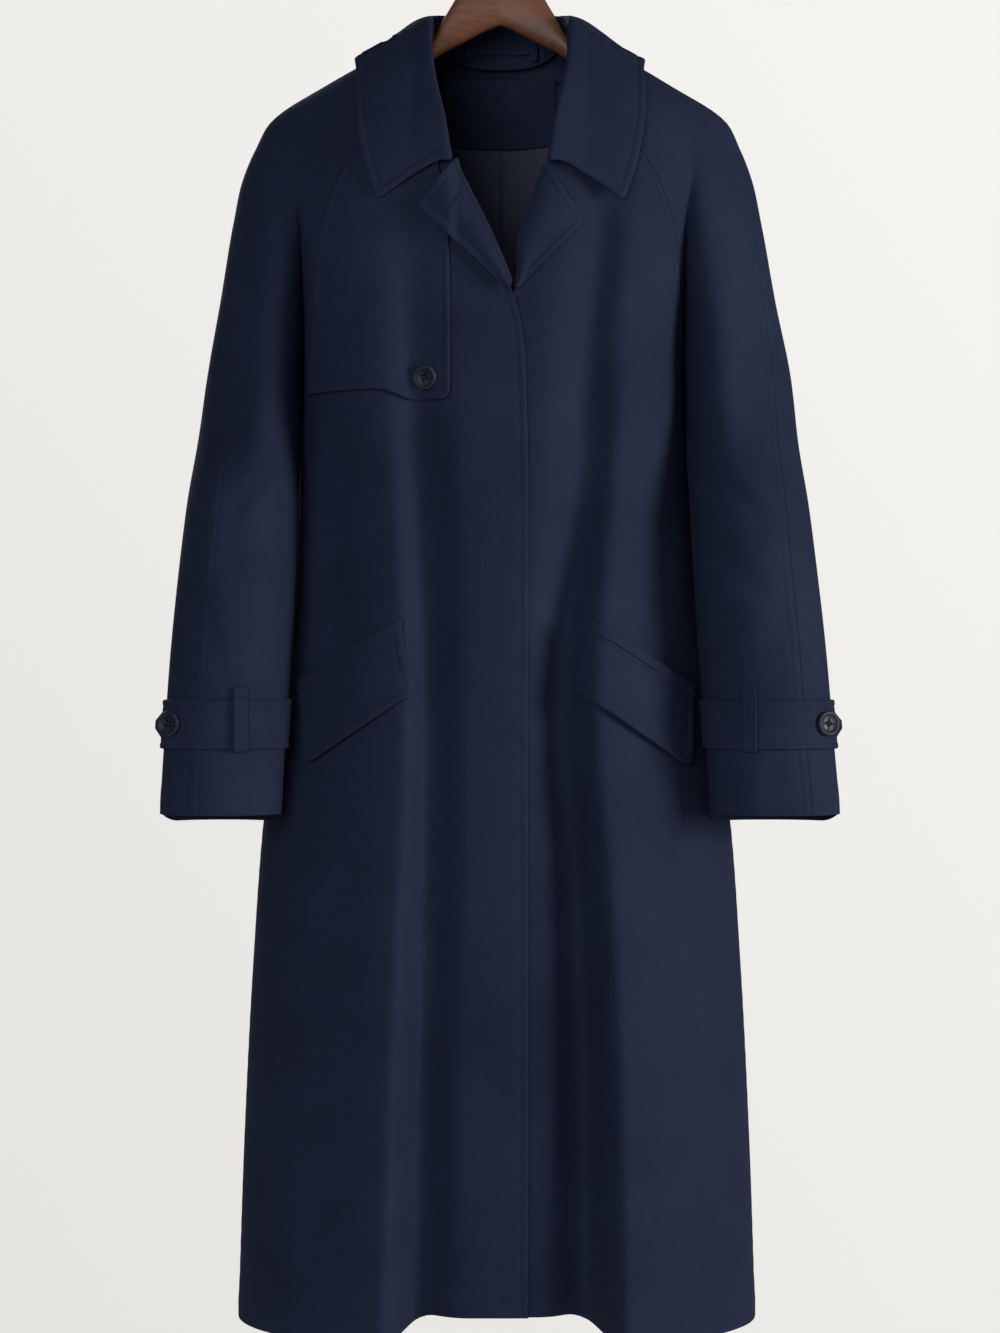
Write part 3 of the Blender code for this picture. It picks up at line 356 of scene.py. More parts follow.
TURNED = (0.0, 0.00012, 0.0004, 0.0008, 0.0016)             # steps round a turned edge
STITCHED = (0.0034, 0.0052, 0.0060, 0.0067, 0.0074, 0.0084)  # and either side of a stitch row


def ruled(length, count, first=TURNED, last=TURNED):
    """Distances across a panel: close at its edges and stitching, even between."""
    room = min(1.0, 0.44 * length / max(first[-1], last[-1]))
    head, tail = np.array(first) * room, length - np.array(last)[::-1] * room
    return np.concatenate([head, np.linspace(head[-1], tail[0], count + 2)[1:-1], tail])


def along(points, distances):
    """The points of a polyline at these distances from its start."""
    length = np.concatenate([[0.0], np.cumsum(np.linalg.norm(np.diff(points, axis=0), axis=1))])
    distances = distances(length[-1]) if callable(distances) else distances
    on_line = [np.interp(distances, length, points[:, i]) for i in range(points.shape[1])]
    return np.stack(on_line, axis=1), distances


def rows_down(top, bottom, spacing=0.0055):
    """Heights of a panel's rows, closer together at its lower edge."""
    return top - ruled(top - bottom, int((top - bottom) / spacing), (0.0,), TURNED + (0.004,))


def normals_of(grid, away=None, hub=None):
    """Unit normals of a grid, turned to point along away or off the point hub."""
    normal = np.cross(np.gradient(grid, axis=1), np.gradient(grid, axis=0))
    normal /= np.maximum(np.linalg.norm(normal, axis=2, keepdims=True), 1e-12)
    toward = np.array(away) if hub is None else grid - np.array(hub)
    return -normal if float(np.sum(normal * toward)) < 0 else normal


def rounded_off(distance, thickness):
    """How far a face falls back as it nears a turned edge."""
    r = thickness / 2
    return r - np.sqrt(np.maximum(r * r - (r - np.minimum(distance, r)) ** 2, 0.0))


STITCH_IN = 0.0067      # a row of stitching from its edge


def swell(distance, along_edge, phase=0.0, groove=0.00035, swelling=0.00045, inside=STITCH_IN):
    """The outer face between an edge and its stitching: it swells, puckers and dips."""
    pad = swelling * np.sin(np.pi * np.clip(distance / inside, 0, 1)) ** 0.8
    pucker = np.sin(560 * along_edge + phase) * np.sin(233 * along_edge + 2 * phase)
    pad = pad + 0.00014 * pucker * bell(distance - inside * 0.6, inside * 0.5)
    return pad - groove * bell(distance - inside, 0.00075)


def sew(piece, slot, *nodes):
    """What every piece of the coat needs: it hangs on the one body, and stands for its node."""
    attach(piece, "root")
    if nodes:
        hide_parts(*nodes)
    return piece


def mesh_piece(name, points, faces, material, uv=None):
    mesh = bpy.data.meshes.new(name)
    mesh.from_pydata(np.asarray(points, dtype=float).tolist(), [], faces)
    mesh.materials.append(material)
    mesh.polygons.foreach_set("use_smooth", [True] * len(mesh.polygons))
    if uv is not None:
        corner = np.empty(len(mesh.loops), dtype=np.int32)
        mesh.loops.foreach_get("vertex_index", corner)
        layer = mesh.uv_layers.new(name="weave")
        layer.data.foreach_set("uv", np.asarray(uv, dtype=float)[corner].ravel())
    piece = bpy.data.objects.new(name, mesh)
    bpy.context.scene.collection.objects.link(piece)
    return piece


def cloth(name, grid, normals, edge, thickness, material, relief=0.0, uv=None):
    """A thin closed sheet: outer and inner faces that meet round the outline.

    edge is each point's distance from the outline, which rounds the edge, and
    relief stands on the outer face. uv runs over the cloth in metres."""
    rows, columns = grid.shape[:2]
    fall = rounded_off(edge, thickness)[..., None]
    lift = np.broadcast_to(relief, edge.shape)[..., None] * (edge > 0)[..., None]
    outer = grid + normals * (lift - fall)
    inner = grid - normals * (thickness - fall)
    index = np.arange(rows * columns).reshape(rows, columns)
    back = index.copy()
    back[1:-1, 1:-1] = rows * columns + np.arange((rows - 2) * (columns - 2)).reshape(rows - 2, columns - 2)
    points = np.concatenate([outer.reshape(-1, 3), inner[1:-1, 1:-1].reshape(-1, 3)])
    uv = np.asarray(uv).reshape(-1, 2)
    uv = np.concatenate([uv, uv.reshape(rows, columns, 2)[1:-1, 1:-1].reshape(-1, 2)])

    def quads(at):
        return np.stack([at[:-1, :-1], at[:-1, 1:], at[1:, 1:], at[1:, :-1]], axis=-1).reshape(-1, 4)

    square = np.cross(grid[1:, :-1] - grid[:-1, :-1], grid[:-1, 1:] - grid[:-1, :-1])
    flip = float(np.sum(square * normals[:-1, :-1])) > 0
    front, rear = quads(index), quads(back)
    faces = np.concatenate([front[:, ::-1], rear] if flip else [front, rear[:, ::-1]])
    return mesh_piece(name, points, faces.tolist(), material, uv)


def stitches(name, runs, material, length=0.0026, gap=0.0008, radius=0.00026, sunk=0.00006):
    """Rows of thread as one mesh. Each run is (path, normals) on the cloth's face."""
    points, faces = [], []
    for path, normals in runs:
        steps = np.concatenate([[0.0], np.cumsum(np.linalg.norm(np.diff(path, axis=0), axis=1))])
        count = max(1, int(steps[-1] / (length + gap)))
        for i in range(count):
            ends = np.array([0.0, 0.25, 0.75, 1.0]) * length + i * (length + gap)
            spine = np.stack([np.interp(ends, steps, path[:, k]) for k in range(3)], axis=1)
            up = np.array([np.interp(ends[1], steps, normals[:, k]) for k in range(3)])
            up /= max(np.linalg.norm(up), 1e-9)
            run = spine[3] - spine[0]
            run /= max(np.linalg.norm(run), 1e-9)
            side = np.cross(run, up)
            first = len(points)
            points.append(spine[0] - up * radius)
            for centre in spine[1:3]:
                for across, rise in ((1, 0), (0, 1), (-1, 0), (0, -1)):
                    points.append(centre + side * across * radius + up * (rise * radius - sunk))
            points.append(spine[3] - up * radius)
            for k in range(4):
                a, b = first + 1 + k, first + 1 + (k + 1) % 4
                faces += [(first, b, a), (a, b, b + 4, a + 4), (first + 9, a + 4, b + 4)]
    return sew(mesh_piece(name, points, faces, material, np.zeros((len(points), 2))), "gabardine")


def add(tree, kind, place=None, **settings):
    """A shader node; settings name its properties, or its inputs by number or name."""
    node = tree.nodes.new("ShaderNode" + kind)
    for name, value in settings.items():
        if hasattr(node, name):
            setattr(node, name, value)
    for name, value in (place or {}).items():
        if isinstance(value, bpy.types.NodeSocket):
            tree.links.new(value, node.inputs[name])
        else:
            node.inputs[name].default_value = value
    return node


def group(name, inputs, outputs):
    """An empty shader group with named sockets, and its two ends."""
    tree = bpy.data.node_groups.new(name, "ShaderNodeTree")
    for socket, kind, value in inputs:
        made = tree.interface.new_socket(name=socket, in_out="INPUT", socket_type="NodeSocket" + kind)
        made.default_value = value
    for socket, kind in outputs:
        tree.interface.new_socket(name=socket, in_out="OUTPUT", socket_type="NodeSocket" + kind)
    return tree, tree.nodes.new("NodeGroupInput"), tree.nodes.new("NodeGroupOutput")


def weave_group():
    """Cloth woven on the weave map: a diagonal rib, uneven yarns and a broad unevenness."""
    tree, given, out = group(
        "woven cloth",
        (("Pale", "Color", (0.5, 0.5, 0.5, 1)), ("Deep", "Color", (0.1, 0.1, 0.1, 1)),
         ("Rib pitch", "Float", 0.0006), ("Rib depth", "Float", 1.0), ("Yarn", "Float", 1.0)),
        (("Color", "Color"), ("Height", "Float"), ("Roughness", "Float")))
    weave = add(tree, "UVMap", uv_map="weave").outputs["UV"]
    turn = add(tree, "VectorMath", {0: weave, 1: (0.87, 0.5, 0.0)}, operation="DOT_PRODUCT")
    count = add(tree, "Math", {0: turn.outputs["Value"], 1: given.outputs["Rib pitch"]}, operation="DIVIDE")
    wave = add(tree, "Math", {0: add(tree, "Math", {0: count.outputs[0], 1: 2 * math.pi},
                                     operation="MULTIPLY").outputs[0]}, operation="SINE")
    rib = add(tree, "Math", {0: wave.outputs[0], 1: given.outputs["Rib depth"]}, operation="MULTIPLY")
    yarns = []
    for stretch in ((1300.0, 90.0, 1.0), (110.0, 1500.0, 1.0)):
        run = add(tree, "VectorMath", {0: weave, 1: stretch}, operation="MULTIPLY")
        yarns.append(add(tree, "TexNoise", {"Vector": run.outputs[0], "Scale": 1.0, "Detail": 2.0}))
    slub = add(tree, "Math", {0: yarns[0].outputs["Fac"], 1: yarns[1].outputs["Fac"]}, operation="ADD")
    slub = add(tree, "Math", {0: slub.outputs[0], 1: -1.0}, operation="ADD")
    slub = add(tree, "Math", {0: slub.outputs[0], 1: given.outputs["Yarn"]}, operation="MULTIPLY")
    solid = add(tree, "TexCoord").outputs["Object"]
    broad = add(tree, "TexNoise", {"Vector": solid, "Scale": 9.0, "Detail": 4.0, "Roughness": 0.6})
    height = add(tree, "Math", {0: rib.outputs[0], 1: 0.35, 2: slub.outputs[0]}, operation="MULTIPLY_ADD")
    tone = add(tree, "Math", {0: height.outputs[0], 1: 0.55, 2: broad.outputs["Fac"]},
               operation="MULTIPLY_ADD")
    colour = add(tree, "Mix", {"Factor": tone.outputs[0], "A": given.outputs["Deep"],
                               "B": given.outputs["Pale"]}, data_type="RGBA")
    tree.links.new(given.outputs["Deep"], colour.inputs[6])
    tree.links.new(given.outputs["Pale"], colour.inputs[7])
    rough = add(tree, "MapRange", {"Value": tone.outputs[0], "From Min": 0.0, "From Max": 1.0,
                                   "To Min": 0.86, "To Max": 0.72})
    tree.links.new(colour.outputs[2], out.inputs["Color"])
    tree.links.new(height.outputs[0], out.inputs["Height"])
    tree.links.new(rough.outputs["Result"], out.inputs["Roughness"])
    return tree


def woven(name, pale, deep, sheen, pitch=0.0006, rib=1.0, yarn=1.0, bump=0.25):
    """A cloth finish: the shared weave with its own colours, rib and sheen."""
    material = bpy.data.materials.new(name)
    material.use_nodes = True
    tree = material.node_tree
    shader = tree.nodes["Principled BSDF"]
    cloth_nodes = tree.nodes.new("ShaderNodeGroup")
    cloth_nodes.node_tree = WEAVE
    cloth_nodes.inputs["Pale"].default_value = (*pale, 1.0)
    cloth_nodes.inputs["Deep"].default_value = (*deep, 1.0)
    cloth_nodes.inputs["Rib pitch"].default_value = pitch
    cloth_nodes.inputs["Rib depth"].default_value = rib
    cloth_nodes.inputs["Yarn"].default_value = yarn
    bumps = add(tree, "Bump", {"Strength": bump, "Distance": 0.0002,
                               "Height": cloth_nodes.outputs["Height"]})
    tree.links.new(cloth_nodes.outputs["Color"], shader.inputs["Base Color"])
    tree.links.new(cloth_nodes.outputs["Roughness"], shader.inputs["Roughness"])
    tree.links.new(bumps.outputs["Normal"], shader.inputs["Normal"])
    shader.inputs["Sheen Weight"].default_value = sheen
    shader.inputs["Sheen Roughness"].default_value = 0.45
    shader.inputs["Sheen Tint"].default_value = (0.45, 0.60, 1.0, 1.0)
    shader.inputs["Specular IOR Level"].default_value = 0.14
    return material


WEAVE = weave_group()
gabardine = woven("navy gabardine", (0.026, 0.037, 0.080), (0.011, 0.016, 0.038), 0.02)
thread = woven("navy thread", (0.040, 0.052, 0.095), (0.020, 0.028, 0.056), 0.15, pitch=0.0004)

FRONT_TOP_Z = -0.194
LAP, UNDERLAP = 0.0022, 0.0030  # how far the right front stands out, and the left one in
HEM_LIFT, LIFT_TOP_Z = 0.017, -1.100
FLY_X = -0.0327                 # the fly's stitching, down to where it curves out
FLY_TURN = ((-0.0327, -0.7460), (-0.0310, -0.7895), (-0.0190, -0.8110), (-0.0020, -0.8220),
            (0.0160, -0.8270))
GROOVE_STEPS = np.array([-0.0024, -0.0010, -0.0004, 0.0004, 0.0010, 0.0024])


def fly_path():
    """The fly's stitching as closely spaced x, z points."""
    turn = np.array(FLY_TURN)
    for _ in range(3):
        ends = turn[:1], turn[-1:]
        cut = np.stack([turn[:-1] * 0.75 + turn[1:] * 0.25, turn[:-1] * 0.25 + turn[1:] * 0.75], axis=1)
        turn = np.concatenate([ends[0], cut.reshape(-1, 2), ends[1]])
    straight = np.stack([np.full(90, FLY_X), np.linspace(-0.400, FLY_TURN[0][1], 90)], axis=1)
    return np.concatenate([straight[:-1], turn])


def lapped_y(x, z, sign):
    """The right front lies over the left one down the middle."""
    if sign < 0:
        return front_y(x, z) - LAP * smooth((x + 0.075) / 0.05)
    return front_y(x, z) + UNDERLAP * smooth((0.045 - x) / 0.04)


def front_panel(sign):
    """The front's grid, its distances from the outline and its map of the weave."""
    rows, edges, maps, seams = [], [], [], []
    levels = np.unique(rows_down(FRONT_TOP_Z, HEM_Z))[::-1]
    for z in levels:
        free = float(column(FRONT_EDGES, FRONT_EDGE_COLUMNS, NAMES[sign], z))
        seam = float(raglan("front", sign, z) if z >= UNDERARM_Z
                     else sign * section(side_of("side", sign), z))
        x = free + (seam - free) * np.sin(np.linspace(0.0, math.pi / 2, 260))
        line = np.stack([x, lapped_y(x, z, sign)], axis=1)
        to_fly = np.clip(free - FLY_X, 0.030, None)
        first = TURNED + STITCHED + (0.016,) + (tuple(to_fly + GROOVE_STEPS) if sign < 0 else ())
        row, at = along(line, lambda length: ruled(length, 58, first, TURNED + STITCHED))
        lift = HEM_LIFT * smooth((0.11 - np.abs(row[:, 0])) / 0.05)
        lift = lift * smooth((LIFT_TOP_Z - z) / (LIFT_TOP_Z - HEM_Z))
        rows.append(np.column_stack([row, z + lift]))
        edges.append(at)
        seams.append(at[-1] - at)
        maps.append(np.column_stack([sign * at, np.full(len(at), z)]))
    grid, edge, seam_edge = np.array(rows), np.array(edges), np.array(seams)
    below = np.broadcast_to((levels - HEM_Z)[:, None], edge.shape)
    return grid, edge, seam_edge, below, np.array(maps)


def on_cloth(grid, normals, at_x, at_z, out=0.0):
    """Points on a panel's own face over these x and z, and its normals there."""
    heights = -grid[:, 0, 2]
    points, facing = [], []
    for x, z in zip(at_x, at_z):
        i = int(np.clip(np.searchsorted(heights, -z) - 1, 0, len(heights) - 2))
        t = min(1.0, max(0.0, (-z - heights[i]) / (heights[i + 1] - heights[i])))
        row, turn = grid[i] * (1 - t) + grid[i + 1] * t, normals[i] * (1 - t) + normals[i + 1] * t
        order = np.argsort(row[:, 0])
        point = [np.interp(x, row[order, 0], row[order, k]) for k in range(3)]
        normal = np.array([np.interp(x, row[order, 0], turn[order, k]) for k in range(3)])
        normal /= max(np.linalg.norm(normal), 1e-9)
        points.append(np.array(point) + normal * out)
        facing.append(normal)
    return np.array(points), np.array(facing)


fly = fly_path()
fronts, front_normals, front_runs = {}, {}, []
for sign, side in NAMES.items():
    grid, edge, seam_edge, below, weave = front_panel(sign)
    normals = normals_of(grid, (0, -1, 0))
    relief = swell(edge, grid[..., 2], sign) * smooth((BREAK_Z + 0.01 - grid[..., 2]) / 0.03)
    relief = relief + swell(seam_edge, grid[..., 2], 2.0, swelling=0.0003)
    relief = relief + 0.0005 * bell(below - 0.016, 0.014)
    if sign < 0:
        away = np.full(edge.shape, 1.0)
        for x, z in fly[::2]:
            away = np.minimum(away, np.hypot(grid[..., 0] - x, (grid[..., 2] - z)))
        relief = relief - 0.00045 * bell(away, 0.0010) + 0.00030 * bell(away - 0.004, 0.0030)
    outline = np.minimum(np.minimum(edge, seam_edge), below)
    piece = cloth("coat_front_" + side, grid, normals, outline, CLOTH, gabardine, relief, weave)
    sew(piece, "gabardine", "front_" + side)
    fronts[sign], front_normals[sign] = grid, normals
    fixed = [np.array([np.interp(STITCH_IN, edge[i], grid[i, :, k]) for k in range(3)])
             for i in range(len(grid)) if grid[i, 0, 2] < BREAK_Z - 0.004]
    if sign < 0:
        edge_run = np.array(fixed)
        face = np.array([normals[i, 8] for i in range(len(grid)) if grid[i, 0, 2] < BREAK_Z - 0.004])
        front_runs.append((edge_run, face))
        front_runs.append(on_cloth(grid, normals, fly[:, 0], fly[:, 1]))
    seam_run = [np.array([np.interp(STITCH_IN, seam_edge[i, ::-1], grid[i, ::-1, k]) for k in range(3)])
                for i in range(len(grid)) if UNDERARM_Z + 0.01 < grid[i, 0, 2] < -0.215]
    face = np.array([normals[i, -8] for i in range(len(grid)) if UNDERARM_Z + 0.01 < grid[i, 0, 2] < -0.215])
    front_runs.append((np.array(seam_run), face))
stitches("stitching_fronts", front_runs, thread)

# ---- The back: one panel of the same gabardine from the collar seam to the hem,
# hanging in shallow flutes, joined to the fronts down both sides.
BACK_TOP_Z, NECK_RISE = -0.155, 0.006
BACK_CREASES = (
    ((-0.020, -0.240), (-0.050, -0.420), (-0.070, -0.640), 0.0030, 0.020),
    ((0.030, -0.260), (0.052, -0.430), (0.058, -0.700), 0.0030, 0.020),
    ((-0.150, -0.420), (-0.120, -0.520), (-0.105, -0.640), 0.0032, 0.016),
    ((0.152, -0.400), (0.128, -0.520), (0.120, -0.660), 0.0030, 0.016),
    ((0.004, -0.760), (-0.008, -0.980), (0.002, -1.250), 0.0034, 0.020),
    ((-0.120, -0.820), (-0.132, -1.040), (-0.128, -1.290), 0.0036, 0.022),
    ((0.112, -0.900), (0.118, -1.080), (0.112, -1.300), 0.0032, 0.020),
)


def back_relief(x, z):
    """The back's own shallow flutes, deeper towards the hem."""
    drop = smooth((-0.30 - z) / 1.0)
    flutes = (0.022 * bell(x + 0.075, 0.032) + 0.026 * bell(x - 0.060, 0.036)
              + 0.012 * bell(x - 0.165, 0.025) + 0.012 * bell(x + 0.170, 0.025))
    return drop * flutes + creases(x, z, BACK_CREASES) + ripple(x, z, 2.1)


def back_y(x, z):
    x, z = np.broadcast_arrays(np.asarray(x, dtype=float), np.asarray(z, dtype=float))
    return section("side_y", z) + body_depth(x, z, "depth_b") - back_relief(x, z) * off_side(x, z)


def back_panel():
    rows, edges, maps = [], [], []
    levels = rows_down(BACK_TOP_Z, HEM_Z, 0.0065)
    for z in levels:
        if z >= UNDERARM_Z:
            ends = float(raglan("back", RIGHT, z)), float(raglan("back", LEFT, z))
        else:
            ends = -float(section("side_r", z)), float(section("side_l", z))
        half = np.sin(np.linspace(0.0, math.pi / 2, 200))
        x = np.concatenate([ends[0] * half[::-1], ends[1] * half[1:]])
        line = np.stack([x, back_y(x, z)], axis=1)
        row, at = along(line, lambda length: ruled(length, 92, TURNED + STITCHED, TURNED + STITCHED))
        rise = NECK_RISE * bell(row[:, 0], 0.040) * smooth((z - BACK_TOP_Z + 0.03) / 0.03)
        rows.append(np.column_stack([row, z + rise]))
        edges.append(np.minimum(at, at[-1] - at))
        maps.append(np.column_stack([at - at[-1] / 2, np.full(len(at), z)]))
    edge = np.array(edges)
    return np.array(rows), edge, np.broadcast_to((levels - HEM_Z)[:, None], edge.shape), np.array(maps)


grid, edge, below, weave = back_panel()
normals = normals_of(grid, (0, 1, 0))
relief = swell(edge, grid[..., 2], 1.0, swelling=0.0003) + 0.0005 * bell(below - 0.016, 0.014)
piece = cloth("coat_back", grid, normals, np.minimum(edge, below), CLOTH, gabardine, relief, weave)
sew(piece, "gabardine", "back")

# ---- The sleeves. Raglan: each is a front and a back half, joined by a seam over
# the shoulder and down the outside of the arm, which is stitched twice.
SLEEVE_COLUMNS = ("z", "mid_y", "half_depth", "overarm")
SLEEVES = np.array([
    (-0.200, 0.015, 0.080, 0.002),
    (-0.300, 0.015, 0.080, 0.010),
    (-0.452, 0.015, 0.080, 0.021),
    (-0.500, -0.004, 0.075, 0.024),
    (-0.560, -0.022, 0.070, 0.027),
    (-0.640, -0.037, 0.063, 0.029),
    (-0.740, -0.051, 0.054, 0.030),
    (-0.856, -0.058, 0.046, 0.030),
])
CUFF_DROP, CUFF_DROP_TOP_Z = 0.008, -0.800   # the cuff's back edge hangs lower
OVERARM_ROWS = (0.0018, 0.0090)              # the two rows beside the overarm seam
SLEEVE_CREASES = {
    RIGHT: (((-0.196, -0.229), (-0.206, -0.270), (-0.186, -0.345), 0.0040, 0.014),
            ((-0.236, -0.440), (-0.250, -0.540), (-0.244, -0.660), 0.0030, 0.015),
            ((-0.205, -0.520), (-0.226, -0.560), (-0.250, -0.585), 0.0030, 0.010),
            ((-0.203, -0.600), (-0.232, -0.622), (-0.262, -0.628), 0.0026, 0.009),
            ((-0.282, -0.640), (-0.262, -0.690), (-0.252, -0.740), 0.0024, 0.012),
            ((-0.226, -0.800), (-0.238, -0.830), (-0.236, -0.856), 0.0016, 0.012)),
    LEFT: (((0.173, -0.225), (0.168, -0.300), (0.159, -0.385), 0.0050, 0.015),
           ((0.228, -0.300), (0.236, -0.400), (0.232, -0.520), 0.0026, 0.016),
           ((0.197, -0.540), (0.222, -0.575), (0.246, -0.590), 0.0032, 0.010),
           ((0.200, -0.620), (0.226, -0.650), (0.256, -0.655), 0.0026, 0.010),
           ((0.276, -0.560), (0.262, -0.640), (0.246, -0.740), 0.0026, 0.014),
           ((0.246, -0.800), (0.252, -0.830), (0.248, -0.856), 0.0016, 0.012)),
}


def sleeve(name, z):
    return column(SLEEVES, SLEEVE_COLUMNS, name, z)


def sleeve_y(x, z, sign, face):
    """The sleeve's front or back, over both the yoke and the free tube."""
    turn = -1.0 if face == "depth_f" else 1.0
    pressed = creases(x, z, SLEEVE_CREASES[sign]) if face == "depth_f" else 0.7 * creases(
        x, z + 0.03, SLEEVE_CREASES[sign])
    pressed = -turn * (pressed + ripple(x, z, 3.3 + turn))
    if z >= UNDERARM_Z:
        relief = front_relief(x, z) if face == "depth_f" else -back_relief(x, z)
        return section("side_y", z) + turn * joined(x, z, face) + relief + pressed
    inner, outer = section(side_of("inner", sign), z), section(side_of("outer", sign), z)
    inner_top = section(side_of("inner", sign), UNDERARM_Z)
    outer_top = section(side_of("outer", sign), UNDERARM_Z)
    t = (np.abs(x) - inner) / (outer - inner)
    pinched = joined(sign * (inner_top + t * (outer_top - inner_top)), UNDERARM_Z, face)
    pinched = section("side_y", UNDERARM_Z) + turn * pinched
    tube = sleeve("mid_y", z) + turn * sleeve("half_depth", z) * ellipse(2.0 * t - 1.0, 2.1, 2.0)
    share = smooth((UNDERARM_Z - z) / MORPH)
    return pinched * (1.0 - share) + tube * share + pressed * smooth(4 * t) * smooth(4 * (1 - t))


def sleeve_ring(sign, z, count=421):
    """The sleeve's section from its inner end, round the front, to the back."""
    outer = section(side_of("outer", sign), z)
    if z >= UNDERARM_Z:
        starts = abs(raglan("front", sign, z)), abs(raglan("back", sign, z))
    else:
        starts = (section(side_of("inner", sign), z),) * 2
    u = np.linspace(0.0, 1.0, count)
    k = parting(z)
    turn = np.sin(u * math.pi / 2) * (1 - k) + (1 - np.cos(u * math.pi)) / 2 * k
    front_x = sign * (starts[0] + (outer - starts[0]) * turn)
    rear_x = sign * (starts[1] + (outer - starts[1]) * turn)[::-1]
    front = np.stack([front_x, sleeve_y(front_x, z, sign, "depth_f")], axis=1)
    rear = np.stack([rear_x, sleeve_y(rear_x, z, sign, "depth_b")], axis=1)
    return np.concatenate([front, rear[1:]])


def sleeve_half(sign, half, columns):
    """The front or the back half: grid, distances from both seams, weave map."""
    rows, near, far, maps = [], [], [], []
    levels = rows_down(NECK_Z, CUFF_Z)
    for z in levels:
        ring = sleeve_ring(sign, z)
        middle = len(ring) // 2
        reach = np.abs(ring[:middle + 1, 0])
        cut = int(np.searchsorted(reach, reach[-1] - sleeve("overarm", z)))
        line = ring[:cut + 1] if half == "front" else ring[cut:]
        first, last = TURNED + STITCHED, TURNED + (0.0030,) + tuple(OVERARM_ROWS[1] + GROOVE_STEPS / 2)
        if half == "back":
            first, last = TURNED + (0.0050,), TURNED + STITCHED
        row, at = along(line, lambda length: ruled(length, columns, first, last))
        drop = 0.0 * at
        if half == "back":
            drop = -CUFF_DROP * smooth((CUFF_DROP_TOP_Z - z) / (CUFF_DROP_TOP_Z - CUFF_Z))
            drop = drop * smooth((row[:, 1] - sleeve("mid_y", z)) / 0.03)
        rows.append(np.column_stack([row, z + drop]))
        near.append(at)
        far.append(at[-1] - at)
        turn = at - at[-1] if half == "front" else at
        maps.append(np.column_stack([sign * turn, np.full(len(at), z)]))
    near = np.array(near)
    below = np.broadcast_to((levels - CUFF_Z)[:, None], near.shape)
    return np.array(rows), near, np.array(far), below, np.array(maps)


sleeves, sleeve_normals, sleeve_runs = {}, {}, []
for sign, side in NAMES.items():
    for half, columns in (("front", 34), ("back", 44)):
        grid, near, far, below, weave = sleeve_half(sign, half, columns)
        normals = normals_of(grid, (0, -1, 0) if half == "front" else (sign, 1, 0))
        relief = swell(near, grid[..., 2], 0.7, swelling=0.0003) * (grid[..., 2] > UNDERARM_Z)
        relief = relief - 0.0003 * bell(below - 0.030, 0.0012) + 0.0004 * bell(below - 0.015, 0.012)
        if half == "front":
            relief = relief + 0.0004 * bell(far - 0.005, 0.004)
            for row_in in OVERARM_ROWS:
                relief = relief - 0.00030 * bell(far - row_in, 0.0007)
                kept = [i for i in range(len(grid)) if grid[i, 0, 2] < -0.170]
                run = np.array([[np.interp(row_in, far[i, ::-1], grid[i, ::-1, k]) for k in range(3)]
                                for i in kept])
                sleeve_runs.append((run, normals[kept, -8]))
        outline = np.minimum(np.minimum(near, far), below)
        name = f"sleeve_{half}_half_{side}"
        piece = cloth(name, grid, normals, outline, CLOTH, gabardine, relief, weave)
        sew(piece, "gabardine", f"sleeve_{half}_{side}")
        sleeves[sign, half], sleeve_normals[sign, half] = grid, normals
stitches("stitching_sleeves", sleeve_runs, thread)

# ---- Inside the back: the neck facing of gabardine, and below it the top of a dark
# satin lining with a pleat down its middle, gathered a little where it is sewn on.
FACING_CENTRE_Z, LINING_LOW_Z, LINING_SEAM = -0.2185, -0.360, 0.0008
INSIDE_GAP = 0.0006
PLEAT_DEPTH, PLEAT_WIDTH, PLEAT_END_Z = 0.0036, 0.014, -0.330
GATHER, GATHER_PITCH = 0.0006, 0.0125
satin = woven("lining satin", (0.088, 0.094, 0.150), (0.046, 0.050, 0.082), 0.0,
              pitch=0.00035, rib=0.5, yarn=0.6, bump=0.12)


def facing_low(x):
    return FACING_CENTRE_Z + 1.6 * x ** 2


def inside_back(name, node, reach, top, low, finish, stand_off, slot):
    """A piece against the inside of the back; stand_off adds its pleat and gathers."""
    x_at = ruled(2 * reach, 110, TURNED, TURNED) - reach
    share = ruled(1.0, 46, TURNED, (0.0, 0.002, 0.006, 0.020))
    x, t = np.meshgrid(x_at, share)
    z = top(x) * (1 - t) + low(x) * t
    y = back_y(x, z) - CLOTH - INSIDE_GAP - CLOTH - stand_off(x, z)
    grid = np.stack([x, y, z], axis=-1)
    height = np.abs(top(0.0) - low(0.0))
    edge = np.minimum(np.minimum(x + reach, reach - x), np.minimum(t, 1 - t) * height)
    relief = swell(t * height, x, 0.3, inside=0.004) + swell((1 - t) * height, x, 0.9, swelling=0.0002)
    piece = cloth(name, grid, normals_of(grid, (0, -1, 0)), edge, CLOTH, finish, relief,
                  np.stack([x, z], axis=-1))
    sew(piece, slot, node)


def no_fold(x, z):
    return 0.0 * x


def pleat_and_gathers(x, z):
    fading = smooth((z - PLEAT_END_Z) / 0.060)
    fold = smooth((x + PLEAT_WIDTH) / PLEAT_WIDTH) * (1 - smooth((x - 0.0004) / 0.0012))
    sewn = smooth((z - FACING_CENTRE_Z + 0.055) / 0.055)
    gathers = (1 + np.sin(2 * math.pi * x / GATHER_PITCH)) * bell(x + 0.022, 0.016)
    return PLEAT_DEPTH * fold * fading + GATHER * gathers * sewn + 0.0012 * bell(x - 0.032, 0.007) * sewn


inside_back("neck_facing_cloth", "neck_facing", 0.054, lambda x: -0.1515 - 0.30 * x ** 2, facing_low,
            gabardine, no_fold, "gabardine")
inside_back("lining_top", "lining_back", 0.110, lambda x: facing_low(x) - LINING_SEAM,
            lambda x: LINING_LOW_Z + 0.0 * x, satin, pleat_and_gathers, "lining")

